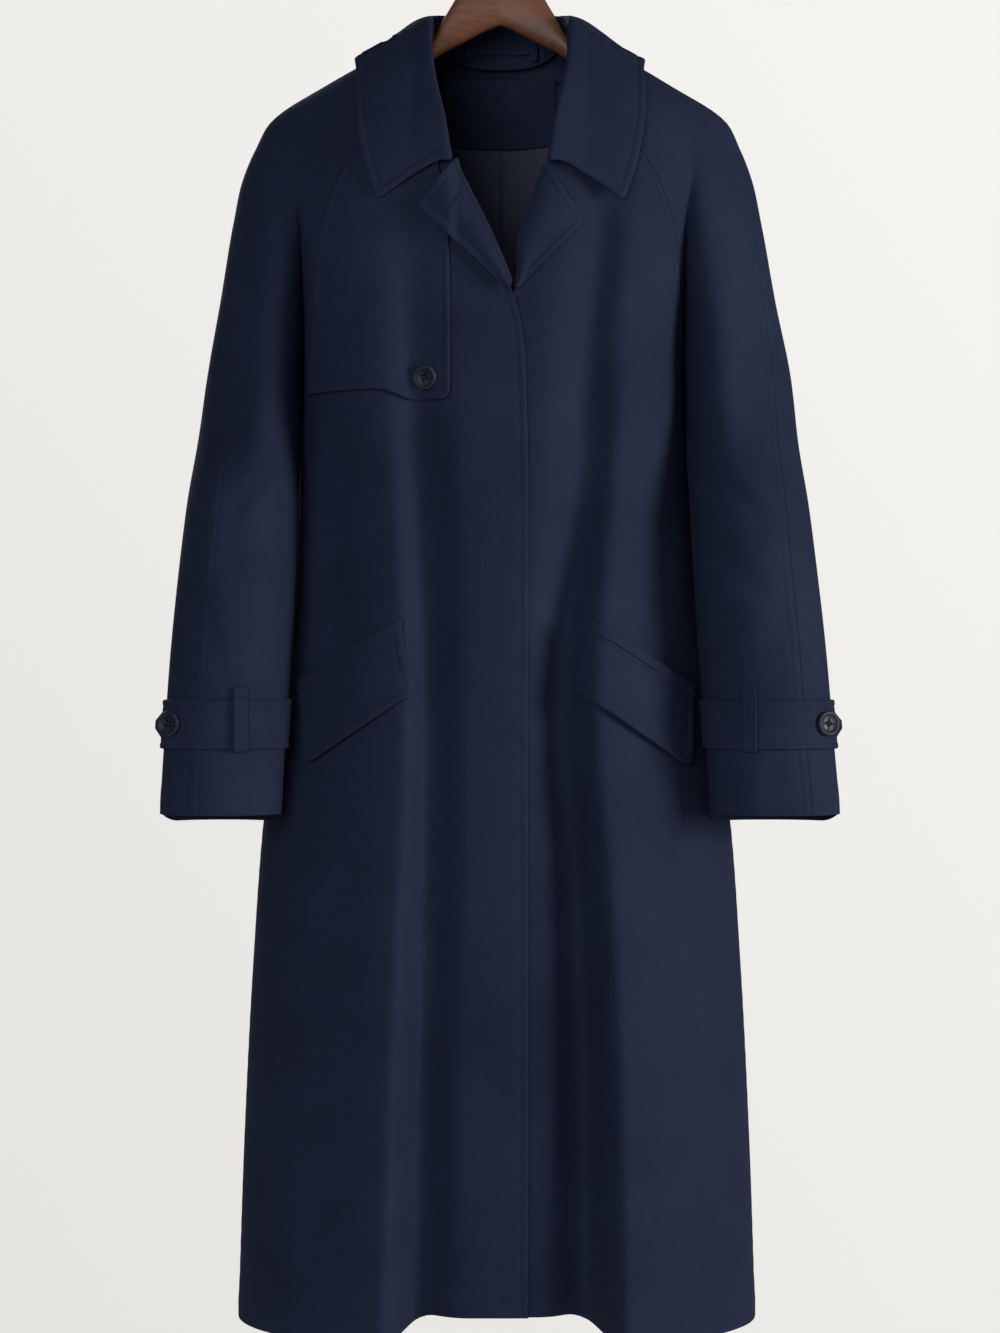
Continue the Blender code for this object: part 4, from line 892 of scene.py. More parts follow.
# ---- What lies on the fronts: the gun flap over the wearer's right chest, sewn into
# the raglan seam, and the slanting pocket flaps, each hung from a narrow welt. All
# are double gabardine, turned out at the edges and stitched round.
LAY_GAP = 0.0008


def on_front(x, z, out, sign):
    """Points on a front, moved out from it square to its surface."""
    step = 0.004
    slope_x = (lapped_y(x + step, z, sign) - lapped_y(x - step, z, sign)) / (2 * step)
    slope_z = (lapped_y(x, z + step, sign) - lapped_y(x, z - step, sign)) / (2 * step)
    move = out / np.sqrt(1.0 + slope_x ** 2 + slope_z ** 2)
    return np.stack([x + slope_x * move, lapped_y(x, z, sign) - move, z + slope_z * move], axis=-1)


def rounded_sheet(width, height, columns, rows, radii, across=None, down=None):
    """Distances across and down a flat piece with rounded corners, and from its outline.

    radii: top start, top end, low end, low start."""
    across = (TURNED + STITCHED, TURNED + STITCHED) if across is None else across
    down = (TURNED + STITCHED, TURNED + STITCHED) if down is None else down
    a, b = np.meshgrid(ruled(width, columns, *across), ruled(height, rows, *down))
    inset = np.minimum(np.minimum(a, width - a), np.minimum(b, height - b))
    for (far, low), radius in zip(((0, 0), (1, 0), (1, 1), (0, 1)), radii):
        if radius == 0:
            continue
        p = radius - (width - a if far else a)
        q = radius - (height - b if low else b)
        near = (p > 0) & (q > 0)
        ring = np.maximum(p, q)
        size = np.maximum(np.hypot(p, q), 1e-12)
        p, q = p / size * ring, q / size * ring
        inset = np.where(near, radius - ring, inset)
        a = np.where(near, width - radius + p if far else radius - p, a)
        b = np.where(near, height - radius + q if low else radius - q, b)
    return a, b, inset


def rounded_run(corners, radius, spacing=0.0012):
    """A path through corners, its turns rounded, as closely spaced points."""
    corners = [np.array(corner, dtype=float) for corner in corners]
    path = [corners[0]]
    for before, at, after in zip(corners, corners[1:], corners[2:]):
        start = at + (before - at) / np.linalg.norm(before - at) * radius
        end = at + (after - at) / np.linalg.norm(after - at) * radius
        for t in np.linspace(0.0, 1.0, 9):
            path.append(start * (1 - t) ** 2 + 2 * at * t * (1 - t) + end * t * t)
    path.append(corners[-1])
    path = np.array(path)
    return along(path, lambda length: np.arange(0.0, length, spacing))[0]


def laid_piece(name, node, size, outline, height, sign, radii, stitch_run=None,
               thickness=DOUBLE, counts=(40, 30), stitch_round=0.004):
    """A flat piece laid on a front and its stitching, its weave mapped on the sheet it was cut from.

    outline turns shares across and down into x and z; height is its outer face's."""
    width, tall = size
    a, b, inset = rounded_sheet(width, tall, *counts, radii)
    x, z = outline(a / width, b / tall)
    grid = on_front(x, z, height(x, z), sign)
    normals = normals_of(grid, (0, -1, 0))
    relief = swell(inset, a + b, width * 50, swelling=0.0005)
    piece = cloth(name, grid, normals, inset, thickness, gabardine, relief,
                  np.stack([a * -sign, -b], axis=-1))
    sew(piece, "gabardine", node)
    down = float(np.linalg.norm(np.diff(grid, axis=0), axis=2).sum(axis=0).mean())
    if stitch_run is None:
        return
    run = rounded_run(stitch_run(width, tall), stitch_round)
    x, z = outline(run[:, 0] / width, run[:, 1] / tall)
    path = on_front(x, z, height(x, z) - 0.0003, sign)
    ahead = on_front(x + 0.001, z, height(x + 0.001, z) - 0.0003, sign) - path
    down = on_front(x, z - 0.001, height(x, z - 0.001) - 0.0003, sign) - path
    facing = np.cross(ahead, down)
    facing *= np.sign(-facing[:, 1:2])
    facing /= np.linalg.norm(facing, axis=1, keepdims=True)
    stitches("stitching_" + name, [(path, facing)], thread)


GUN_TOP_Z, GUN_LOW_Z, GUN_DIP = -0.236, -0.4665, 0.009
GUN_EDGE_X, GUN_WIDTH = -0.0475, 0.134
GUN_HEIGHT = 0.0017 + DOUBLE


def gun_outline(s, t):
    """From the front edge to the raglan seam, dipping towards the button."""
    level = GUN_TOP_Z + (GUN_LOW_Z - GUN_TOP_Z) * t
    seam_x = raglan("front", RIGHT, np.maximum(level, UNDERARM_Z)) + 0.003 + 0.006 * smooth(t)
    edge_x = GUN_EDGE_X + 0.003 * smooth(t * 1.2) - 0.010 * smooth((level + 0.300) / 0.05)
    x = edge_x + (seam_x - edge_x) * s
    return x, level - GUN_DIP * smooth((x + 0.112) / 0.030) * smooth((t - 0.5) * 2)


def gun_height(x, z):
    """It lifts a little towards its free corner."""
    return GUN_HEIGHT + 0.0012 * smooth((x + 0.16) / 0.10) * smooth((-0.36 - z) / 0.08)


laid_piece("gun_flap_cloth", "gun_flap", (GUN_WIDTH, GUN_TOP_Z - GUN_LOW_Z), gun_outline, gun_height,
           RIGHT, (0, 0, 0, 0.009),
           stitch_run=lambda w, h: ((STITCH_IN, 0.02), (STITCH_IN, h - STITCH_IN),
                                    (w - 0.002, h - STITCH_IN)))

POCKET_FLAPS = {       # inner top, inner low, outer low, outer top corners as (x, z)
    RIGHT: ((-0.0900, -0.6840), (-0.0770, -0.7420), (-0.1780, -0.8130), (-0.1840, -0.7430)),
    LEFT: ((0.0820, -0.6840), (0.0675, -0.7400), (0.1745, -0.8160), (0.1770, -0.7460)),
}
WELT_HEIGHT, WELT_LAP = 0.0085, 0.0022
FLAP_GAP, FLAP_BOW = 0.0030, 0.0030


def pocket_outline(corners):
    """Shares across and down a slanting flap, its inner edge bowed outwards."""
    inner_top, inner_low, outer_low, outer_top = (np.array(corner) for corner in corners)

    def place(s, t):
        top = inner_top * (1 - s[..., None]) + outer_top * s[..., None]
        low = inner_low * (1 - s[..., None]) + outer_low * s[..., None]
        at = top * (1 - t[..., None]) + low * t[..., None]
        bow = FLAP_BOW * np.sin(np.pi * t) * (1 - smooth(s * 3))
        return at[..., 0] + bow * np.sign(at[..., 0]), at[..., 1]
    return place


def welt_outline(corners):
    inner, outer = np.array(corners[0]), np.array(corners[3])

    def place(s, t):
        at = inner * (1 - s[..., None]) + outer * s[..., None]
        return at[..., 0], at[..., 1] + WELT_HEIGHT * (1 - t) - WELT_LAP * t
    return place


for sign, side in NAMES.items():
    corners = POCKET_FLAPS[sign]
    top_width = float(np.hypot(*(np.array(corners[0]) - corners[3])))
    deep = float(np.hypot(*(np.array(corners[0]) - corners[1])))

    def flap_height(x, z):
        return FLAP_GAP + DOUBLE + 0.0014 * smooth((-0.70 - z) / 0.10)

    laid_piece("pocket_flap_cloth_" + side, "pocket_flap_" + side, (top_width, deep),
               pocket_outline(corners), flap_height, sign, (0, 0, 0.010, 0.012),
               stitch_run=lambda w, h: ((STITCH_IN, 0.001), (STITCH_IN, h - STITCH_IN),
                                        (w - STITCH_IN, h - STITCH_IN), (w - STITCH_IN, 0.001)))
    laid_piece("pocket_welt_cloth_" + side, "pocket_welt_" + side, (top_width, WELT_HEIGHT + WELT_LAP),
               welt_outline(corners), lambda x, z: FLAP_GAP + DOUBLE + CLOTH + 0.0 * x, sign,
               (0.002, 0, 0, 0.002), thickness=CLOTH, counts=(40, 4),
               stitch_run=lambda w, h: ((0.003, 0.0022), (w - 0.002, 0.0022)))

# ---- The lapels: the tops of the fronts, faced with gabardine and rolled back from
# the opening, stitched round, with a buttonhole in the wearer's right one.
LAPEL_CORNER = {RIGHT: (-0.0744, -0.3011), LEFT: (0.0755, -0.3140)}
LAPEL_TIP = {RIGHT: (0.0100, BREAK_Z - 0.004), LEFT: (0.0150, BREAK_Z)}
LAPEL_TOP_Z, LAPEL_SHARE, LAPEL_PUFF = -0.262, 0.97, 0.0045


def lapel_face(sign, across, share):
    """The lapel at this distance from its underside round the roll, and share down."""
    v = LAPEL_SHARE * share
    roll_z = LAPEL_TOP_Z + (BREAK_Z - LAPEL_TOP_Z) * v
    roll_x = column(FRONT_EDGES, FRONT_EDGE_COLUMNS, NAMES[sign], roll_z)
    free_x = LAPEL_CORNER[sign][0] * (1 - v) + LAPEL_TIP[sign][0] * v
    free_z = LAPEL_CORNER[sign][1] * (1 - v) + LAPEL_TIP[sign][1] * v
    width = np.hypot(free_x - roll_x, free_z - roll_z)
    over_gun = GUN_HEIGHT * smooth((-roll_x - 0.036) / 0.010) if sign < 0 else 0.0
    lifted = 0.0044 if sign < 0 else 0.0010
    r = (LAY_GAP + DOUBLE + lifted + over_gun + CLOTH) / 2
    angle = np.clip(across * math.pi, 0.0, math.pi)
    flat = np.clip(across - 1.0, 0.0, 1.0)
    reach = np.where(across < 1.0, -r * np.sin(angle), flat * width)
    u = reach / width
    x = roll_x + (free_x - roll_x) * u
    z = roll_z + (free_z - roll_z) * u
    puff = LAPEL_PUFF * np.sin(np.pi * np.minimum(flat * 1.3, 1.0)) * (1 - 0.6 * v)
    climb = GUN_HEIGHT * smooth((-x - 0.036) / 0.010) - over_gun if sign < 0 else 0.0
    out = -CLOTH + r * (1 - np.cos(angle)) + puff + climb * (across > 1.0)
    return on_front(x, z, out, sign), r * math.pi, width


for sign, side in NAMES.items():
    long_edge = float(np.hypot(LAPEL_CORNER[sign][0] - LAPEL_TIP[sign][0],
                               LAPEL_CORNER[sign][1] - LAPEL_TIP[sign][1]))
    _, _, top_width = lapel_face(sign, np.array([1.0]), np.array([0.0]))
    wide = float(top_width[0])
    a, b, inset = rounded_sheet(wide, long_edge, 22, 44, (0, 0.0032, 0, 0),
                                across=((0.0,), TURNED + STITCHED))
    roll = np.linspace(0.0, 1.0, 12)[:-1]
    rolled = np.broadcast_to(roll, (len(a), len(roll)))
    across = np.concatenate([rolled, 1.0 + a / wide], axis=1)
    share = np.concatenate([np.broadcast_to(b[:, :1], rolled.shape), b], axis=1) / long_edge
    grid, _, width = lapel_face(sign, across, share)
    normals = normals_of(grid, (0, -1, 0))
    free = (2.0 - across) * width
    below = (1.0 - share) * long_edge
    above = share * long_edge
    edge = np.minimum(np.minimum(free, above), below)
    edge[:, len(roll):] = np.minimum(inset, np.minimum(free[:, len(roll):], below[:, len(roll):]))
    edge[:, :len(roll)] = np.minimum(edge[:, :len(roll)], (rolled * 0.010))
    relief = swell(np.minimum(free, above), share * long_edge, sign, swelling=0.0005)
    weave = np.stack([sign * across * wide, -share * long_edge], axis=-1)
    piece = cloth("lapel_cloth_" + side, grid, normals, edge, DOUBLE, gabardine, relief, weave)
    sew(piece, "gabardine", "lapel_" + side)
    corner = (2.0 - STITCH_IN / wide, STITCH_IN / long_edge)
    down = np.linspace(corner[1], 0.80, 90)
    _, _, widths = lapel_face(sign, np.full(90, 1.5), down)
    path_across = np.concatenate([np.linspace(1.15, corner[0], 30)[:-1], 2.0 - STITCH_IN / widths])
    path_share = np.concatenate([np.full(29, corner[1]), down])
    path = lapel_face(sign, path_across, path_share)[0]
    ahead = lapel_face(sign, path_across + 0.02, path_share)[0] - path
    over = lapel_face(sign, path_across, path_share + 0.01)[0] - path
    facing = np.cross(ahead, over)
    facing *= np.sign(-facing[:, 1:2])
    facing /= np.linalg.norm(facing, axis=1, keepdims=True)
    stitches("stitching_lapel_" + side, [(path - facing * 0.0003, facing)], thread)

# ---- The collar: a stand sewn round the neckline and a deep fall that rolls over it
# and lies on the shoulders, both of double gabardine, the fall stitched round.
COLLAR_COLUMNS = ("neck_x", "neck_y", "neck_z", "fold_x", "fold_y", "fold_z", "edge_x", "edge_y", "edge_z")
COLLAR = np.array([             # stations from the front end to the middle of the back
    (0.0460, -0.0900, -0.2520, 0.0432, -0.1045, -0.2620, 0.1125, -0.0920, -0.2950),
    (0.0560, -0.0810, -0.2200, 0.0485, -0.0960, -0.2180, 0.1215, -0.0840, -0.2690),
    (0.0630, -0.0680, -0.1900, 0.0560, -0.0830, -0.1850, 0.1290, -0.0700, -0.2320),
    (0.0665, -0.0470, -0.1560, 0.0615, -0.0600, -0.1500, 0.1300, -0.0480, -0.1940),
    (0.0655, -0.0180, -0.1290, 0.0620, -0.0290, -0.1190, 0.1275, -0.0200, -0.1560),
    (0.0640, 0.0180, -0.1186, 0.0600, 0.0150, -0.1040, 0.1260, 0.0180, -0.1460),
    (0.0510, 0.0500, -0.1330, 0.0490, 0.0400, -0.0970, 0.1040, 0.0560, -0.1670),
    (0.0280, 0.0610, -0.1420, 0.0260, 0.0550, -0.0940, 0.0560, 0.0760, -0.1770),
    (0.0000, 0.0640, -0.1435, 0.0000, 0.0600, -0.0930, 0.0000, 0.0800, -0.1800),
])
FALL_CLEARANCE = 0.0080         # its outer face above the coat it lies on
COLLAR_HUB = (0.0, -0.02, -0.15)


def collar_curve(name):
    """One of the collar's three lines, smoothed, from right front to left front."""
    half = COLLAR[:, [COLLAR_COLUMNS.index(name + "_" + axis) for axis in "xyz"]]
    curve = np.concatenate([half * (-1, 1, 1), half[:-1][::-1]])
    for _ in range(4):
        padded = np.concatenate([curve[:1], curve, curve[-1:]])
        between = (-padded[:-3] + 9 * padded[1:-2] + 9 * padded[2:-1] - padded[3:]) / 16
        finer = np.empty((2 * len(curve) - 1, 3))
        finer[0::2], finer[1::2] = curve, between
        curve = finer
    return curve


def coat_field(points):
    """How far points lie outside the yoke, along y; negative within it."""
    x, y, z = points.T
    middle_y = section("side_y", z)
    depth = np.where(y < middle_y, joined(x, z, "depth_f"), joined(x, z, "depth_b"))
    return np.abs(y - middle_y) - depth


def clear_of_coat(points, clearance):
    """The points, moved out square to the yoke where they lie too close to it."""
    step = 0.001
    for _ in range(6):
        slope = np.stack([(coat_field(points + step * axis) - coat_field(points - step * axis)) / (2 * step)
                          for axis in np.eye(3)], axis=1)
        size = np.maximum(np.linalg.norm(slope, axis=1), 1.0)
        short = np.maximum(clearance - coat_field(points) / size, 0.0)
        points = points + slope / size[:, None] * short[:, None]
    return points


def through(knots, share):
    """A smooth curve through knots of shape (k, stations, 3), at shares 0 to 1."""
    knots = np.array(knots)
    at = share * (len(knots) - 1)
    i = np.minimum(at.astype(int), len(knots) - 2)
    t = (at - i)[:, None, None]
    before, after = knots[np.maximum(i - 1, 0)], knots[np.minimum(i + 2, len(knots) - 1)]
    p, q = knots[i], knots[i + 1]
    return 0.5 * ((2 * p) + (q - before) * t + (2 * before - 5 * p + 4 * q - after) * t ** 2
                  + (3 * p - before - 3 * q + after) * t ** 3)


neck_line, fold_line, edge_line = (collar_curve(name) for name in ("neck", "fold", "edge"))
edge_steps = np.concatenate([[0.0], np.cumsum(np.linalg.norm(np.diff(edge_line, axis=0), axis=1))])
COLLAR_LENGTH, COLLAR_WIDTH = float(edge_steps[-1]), 0.078


def at_station(curve, distance):
    """A collar line's points where the outer edge has run this far."""
    return np.stack([np.interp(distance, edge_steps, curve[:, k]) for k in range(3)], axis=-1)


def fall_face(distance, share):
    """The fall's outer face: distance round its edge, share from inside the fold."""
    neck, fold, edge = (at_station(line, distance) for line in (neck_line, fold_line, edge_line))
    inward = (neck - fold) / np.linalg.norm(neck - fold, axis=-1, keepdims=True)
    up = np.array((0.0, 0.0, 1.0))
    out = edge - fold
    knots = (fold + inward * 0.012, fold + inward * 0.004 + up * 0.0015, fold + up * 0.0040 + out * 0.045,
             fold + out * 0.20 + up * 0.0085, fold + out * 0.42 + up * 0.0080,
             fold + out * 0.70 + up * 0.0045, edge)
    line = through(knots, np.linspace(0.0, 1.0, 49))
    lengths = np.concatenate([np.zeros((1, line.shape[1])),
                              np.cumsum(np.linalg.norm(np.diff(line, axis=0), axis=2), axis=0)])
    points = np.empty(share.shape + (3,))
    for j in range(line.shape[1]):
        at = share[:, j] * lengths[-1, j]
        points[:, j] = np.stack([np.interp(at, lengths[:, j], line[:, j, k]) for k in range(3)], axis=-1)
    moved = clear_of_coat(points.reshape(-1, 3), FALL_CLEARANCE).reshape(points.shape)
    held = smooth((share - 0.22) / 0.20)[..., None]
    return points * (1 - held) + moved * held


a, b, inset = rounded_sheet(COLLAR_LENGTH, COLLAR_WIDTH, 150, 40, (0, 0, 0.0045, 0.0045),
                            across=(TURNED + STITCHED, TURNED + STITCHED), down=((0.0,), TURNED + STITCHED))
grid = np.empty(a.shape + (3,))
for i in range(len(a)):
    grid[i] = fall_face(a[i], (b[i] / COLLAR_WIDTH)[None, :])[0]
normals = normals_of(grid, hub=COLLAR_HUB)
relief = swell(inset, a + b, 0.2, swelling=0.0006) + 0.6 * ripple(2.2 * a, 2.5 * b, 1.7)
relief = relief * smooth(inset / 0.001)
piece = cloth("collar_fall_cloth", grid, normals, inset, DOUBLE, gabardine, relief,
              np.stack([a, -b], axis=-1))
sew(piece, "gabardine", "collar_fall")
run = rounded_run(((STITCH_IN, 0.016), (STITCH_IN, COLLAR_WIDTH - STITCH_IN),
                   (COLLAR_LENGTH - STITCH_IN, COLLAR_WIDTH - STITCH_IN),
                   (COLLAR_LENGTH - STITCH_IN, 0.016)), 0.004)
path = fall_face(run[:, 0], (run[:, 1] / COLLAR_WIDTH)[None, :])[0]
nearest = [np.argmin(np.sum((grid.reshape(-1, 3) - point) ** 2, axis=1)) for point in path]
facing = normals.reshape(-1, 3)[nearest]
stitches("stitching_collar", [(path - facing * 0.0003, facing)], thread)

a, b, inset = rounded_sheet(COLLAR_LENGTH, 1.0, 120, 10, (0, 0, 0, 0), across=(TURNED, TURNED),
                            down=((0.0, 0.004, 0.02), (0.0, 0.004, 0.02)))
neck, fold = at_station(neck_line, a), at_station(fold_line, a)
toward_neck = (neck - fold) / np.linalg.norm(neck - fold, axis=-1, keepdims=True)
in_front = smooth(-fold[..., 1:2] / 0.06)
top = fold + toward_neck * 0.0045 + in_front * (0.0, 0.0030, 0.0)
grid = top * (1 - b[..., None]) + neck * b[..., None]
height = np.linalg.norm(neck - top, axis=-1)
edge = np.minimum(np.minimum(a, COLLAR_LENGTH - a), np.minimum(b, 1 - b) * height)
piece = cloth("collar_stand_cloth", grid, normals_of(grid, hub=COLLAR_HUB), edge, CLOTH, gabardine, 0.0,
              np.stack([a, b * 0.04], axis=-1))
sew(piece, "gabardine", "collar_stand")

# ---- The hanging loop: a folded strip of gabardine caught across the collar stand
# at both ends, where its end turns down and is stitched.
LOOP_Z, LOOP_HEIGHT, LOOP_FROM_X, LOOP_TO_X = -0.1270, 0.0068, -0.0330, 0.0360
LOOP_END_WIDTH, LOOP_END_HEIGHT = 0.0075, 0.0150


def loop_strip(name, width, height, middle_x, middle_z, out):
    a, b, inset = rounded_sheet(width, height, 40, 6, (0.001,) * 4,
                                across=(TURNED, TURNED), down=(TURNED, TURNED))
    x = middle_x - width / 2 + a
    grid = np.stack([x, 0.0578 - 5.0 * x ** 2 - out, middle_z + height / 2 - b], axis=-1)
    piece = cloth(name, grid, normals_of(grid, (0, -1, 0)), inset, CLOTH, gabardine,
                  swell(inset, a, 0.4, inside=0.0018, groove=0.0002, swelling=0.0003),
                  np.stack([a, -b], axis=-1))
    sew(piece, "gabardine", "hanger_loop")


loop_strip("hanging_loop", LOOP_TO_X - LOOP_FROM_X, LOOP_HEIGHT, (LOOP_FROM_X + LOOP_TO_X) / 2, LOOP_Z,
           0.0)
for name, x in (("hanging_loop_end_right", LOOP_FROM_X + LOOP_END_WIDTH / 2),
                ("hanging_loop_end_left", LOOP_TO_X - LOOP_END_WIDTH / 2)):
    loop_strip(name, LOOP_END_WIDTH, LOOP_END_HEIGHT, x, LOOP_Z - 0.003, 0.0012)

# ---- The cuff straps: pointed bands of double gabardine round each sleeve, held by a
# narrow keeper loop at the front and buttoned where the point stands off the sleeve.
STRAP_Z, STRAP_HALF, STRAP_POINT, STRAP_TURN = -0.7730, 0.0225, 0.026, 0.62
STRAP_SPRING = 0.40             # how far the point springs off sideways, not round
STRAP_OUT = LAY_GAP + DOUBLE
KEEPER_X = {RIGHT: -0.2350, LEFT: 0.2260}
KEEPER_WIDTH, KEEPER_REACH, KEEPER_UP = 0.0130, 0.0300, 0.005


def closed_ring(sign, z):
    """The sleeve's whole section at height z, from the inner end round the front."""
    ring = sleeve_ring(sign, z)
    step = np.roll(ring, -1, axis=0) - np.roll(ring, 1, axis=0)
    normal = np.stack([step[:, 1], -step[:, 0]], axis=1)
    normal /= np.maximum(np.linalg.norm(normal, axis=1, keepdims=True), 1e-12)
    if float(np.sum(normal * (ring - ring.mean(axis=0)))) < 0:
        normal = -normal
    normal[0] = normal[-1] = (-sign, 0.0)
    return ring, normal


def strap_line(sign, z, turned):
    """The strap's way round the sleeve at height z, from the tip of its point."""
    ring, normal = closed_ring(sign, z)
    path = ring + normal * STRAP_OUT
    band = np.concatenate([path[turned:0:-1], path[:1], path[:turned + 24:-1]])
    ahead = band[0] - band[6]
    ahead = ahead / np.linalg.norm(ahead) + np.array((sign * STRAP_SPRING, 0.0))
    ahead /= np.linalg.norm(ahead)
    tip = band[0] + ahead * STRAP_POINT
    return np.concatenate([np.linspace(tip, band[0], 12)[:-1], band]), ahead


strap_faces = {}
for sign, side in NAMES.items():
    ring, normal = closed_ring(sign, STRAP_Z)
    turned = int(np.argmax(normal[20:, 0] * sign > STRAP_TURN)) + 20
    middle, ahead = strap_line(sign, STRAP_Z, turned)
    length = float(np.sum(np.linalg.norm(np.diff(middle, axis=0), axis=1)))
    tall = 2 * STRAP_HALF
    a, b, inset = rounded_sheet(length, tall, 90, 16, (0, 0, 0, 0))
    narrowed = np.clip(a / (STRAP_POINT * 0.62), 0.0, 1.0)
    half = STRAP_HALF * (0.16 + 0.84 * narrowed)
    offset = (1 - 2 * b / tall) * half
    point_inset = (half - np.abs(offset)) * np.where(narrowed < 1, 0.62, 1.0)
    inset = np.minimum(np.minimum(a, length - a), point_inset)
    grid = np.empty(a.shape + (3,))
    levels = STRAP_Z + np.linspace(-STRAP_HALF, STRAP_HALF, 13)
    lines = []
    for level in levels:
        line, _ = strap_line(sign, level, turned)
        lines.append(along(line, lambda total: np.linspace(0.0, total, 400))[0])
    lines = np.array(lines)
    share = a / length * 399
    low = np.clip(share.astype(int), 0, 398)
    part = (share - low)[..., None]
    level = np.clip((offset + STRAP_HALF) / tall * 12, 0, 12)
    row = np.clip(level.astype(int), 0, 11)
    up = (level - row)[..., None]
    flat = ((lines[row, low] * (1 - part) + lines[row, low + 1] * part) * (1 - up)
            + (lines[row + 1, low] * (1 - part) + lines[row + 1, low + 1] * part) * up)
    grid[..., :2], grid[..., 2] = flat, STRAP_Z + offset
    hub = np.array([*ring.mean(axis=0), STRAP_Z])
    normals = normals_of(grid, hub=hub)
    relief = swell(inset, a, sign * 0.8, swelling=0.0005, inside=0.0060)
    piece = cloth("cuff_strap_cloth_" + side, grid, normals, inset, DOUBLE, gabardine, relief,
                  np.stack([a, b], axis=-1))
    sew(piece, "gabardine", "cuff_strap_" + side)
    rows_of_thread = []
    for i in (np.argmin(np.abs(b[:, 60] - 0.0060)), np.argmin(np.abs(b[:, 60] - (tall - 0.0060)))):
        rows_of_thread.append((grid[i, 4:-4] - normals[i, 4:-4] * 0.0003, normals[i, 4:-4]))
    stitches("stitching_strap_" + side, rows_of_thread, thread)
    strap_faces[sign] = grid, normals, a, b

    face = sleeves[sign, "front"]
    width, tall = KEEPER_WIDTH, 2 * KEEPER_REACH
    a, b, inset = rounded_sheet(width, tall, 6, 30, (0.0015,) * 4,
                                across=(TURNED, TURNED), down=(TURNED, TURNED))
    z = STRAP_Z + KEEPER_UP + KEEPER_REACH - b
    x = KEEPER_X[sign] - width / 2 + a
    over = smooth((STRAP_HALF + 0.0045 - np.abs(z - STRAP_Z)) / 0.0050)
    out = 0.0012 + CLOTH + (STRAP_OUT + 0.0005) * over
    y = np.array([[sleeve_y(x[i, j], z[i, j], sign, "depth_f") for j in range(x.shape[1])]
                  for i in range(x.shape[0])])
    grid = np.stack([x, y - out * 1.06, z], axis=-1)
    piece = cloth("keeper_loop_" + side, grid, normals_of(grid, (0, -1, 0)), inset, CLOTH, gabardine,
                  swell(inset, b, 0.5, inside=0.0030, groove=0.0002, swelling=0.0004),
                  np.stack([a, -b], axis=-1))
    sew(piece, "gabardine", "strap_loop_" + side)

# ---- Buttons and buttonholes. The buttons are turned from dark resin, a rim round a
# shallow dish with four holes, sewn on with a cross of thread: one holds the gun
# flap and one each cuff strap. The buttonholes are slits bound with close stitches,
# each with a near-black tube down it as painted shade in the slit.
BUTTON_PROFILE = ((0.00, 0.00), (0.62, 0.00), (0.86, 0.06), (0.96, 0.24), (1.00, 0.50), (0.985, 0.72),
                  (0.93, 0.92), (0.86, 1.00), (0.79, 0.97), (0.72, 0.84), (0.66, 0.68), (0.58, 0.60),
                  (0.30, 0.56), (0.00, 0.55))           # radius and height, as shares
BUTTON_SIDES, HOLE_OUT, HOLE_RADIUS, BUTTON_GAP = 72, 0.0026, 0.00105, 0.0004
BUTTON_FROM_TIP = 0.0165        # on a cuff strap


def resin_finish():
    material = bpy.data.materials.new("button resin")
    material.use_nodes = True
    tree = material.node_tree
    shader = tree.nodes["Principled BSDF"]
    where = add(tree, "TexCoord").outputs["Object"]
    warp = add(tree, "TexNoise", {"Vector": where, "Scale": 160.0, "Detail": 4.0, "Distortion": 1.6})
    cloud = add(tree, "MapRange", {"Value": warp.outputs["Fac"], "From Min": 0.35, "From Max": 0.68})
    tone = add(tree, "Mix", {"Factor": cloud.outputs["Result"]}, data_type="RGBA")
    tone.inputs[6].default_value = (0.010, 0.014, 0.026, 1.0)
    tone.inputs[7].default_value = (0.034, 0.042, 0.066, 1.0)
    scuffs = add(tree, "TexNoise", {"Vector": where, "Scale": 900.0, "Detail": 3.0})
    rough = add(tree, "MapRange", {"Value": scuffs.outputs["Fac"], "To Min": 0.34, "To Max": 0.50})
    bumps = add(tree, "Bump", {"Strength": 0.05, "Distance": 0.0002, "Height": scuffs.outputs["Fac"]})
    tree.links.new(tone.outputs[2], shader.inputs["Base Color"])
    tree.links.new(rough.outputs["Result"], shader.inputs["Roughness"])
    tree.links.new(bumps.outputs["Normal"], shader.inputs["Normal"])
    shader.inputs["Specular IOR Level"].default_value = 0.30
    return material


resin = resin_finish()


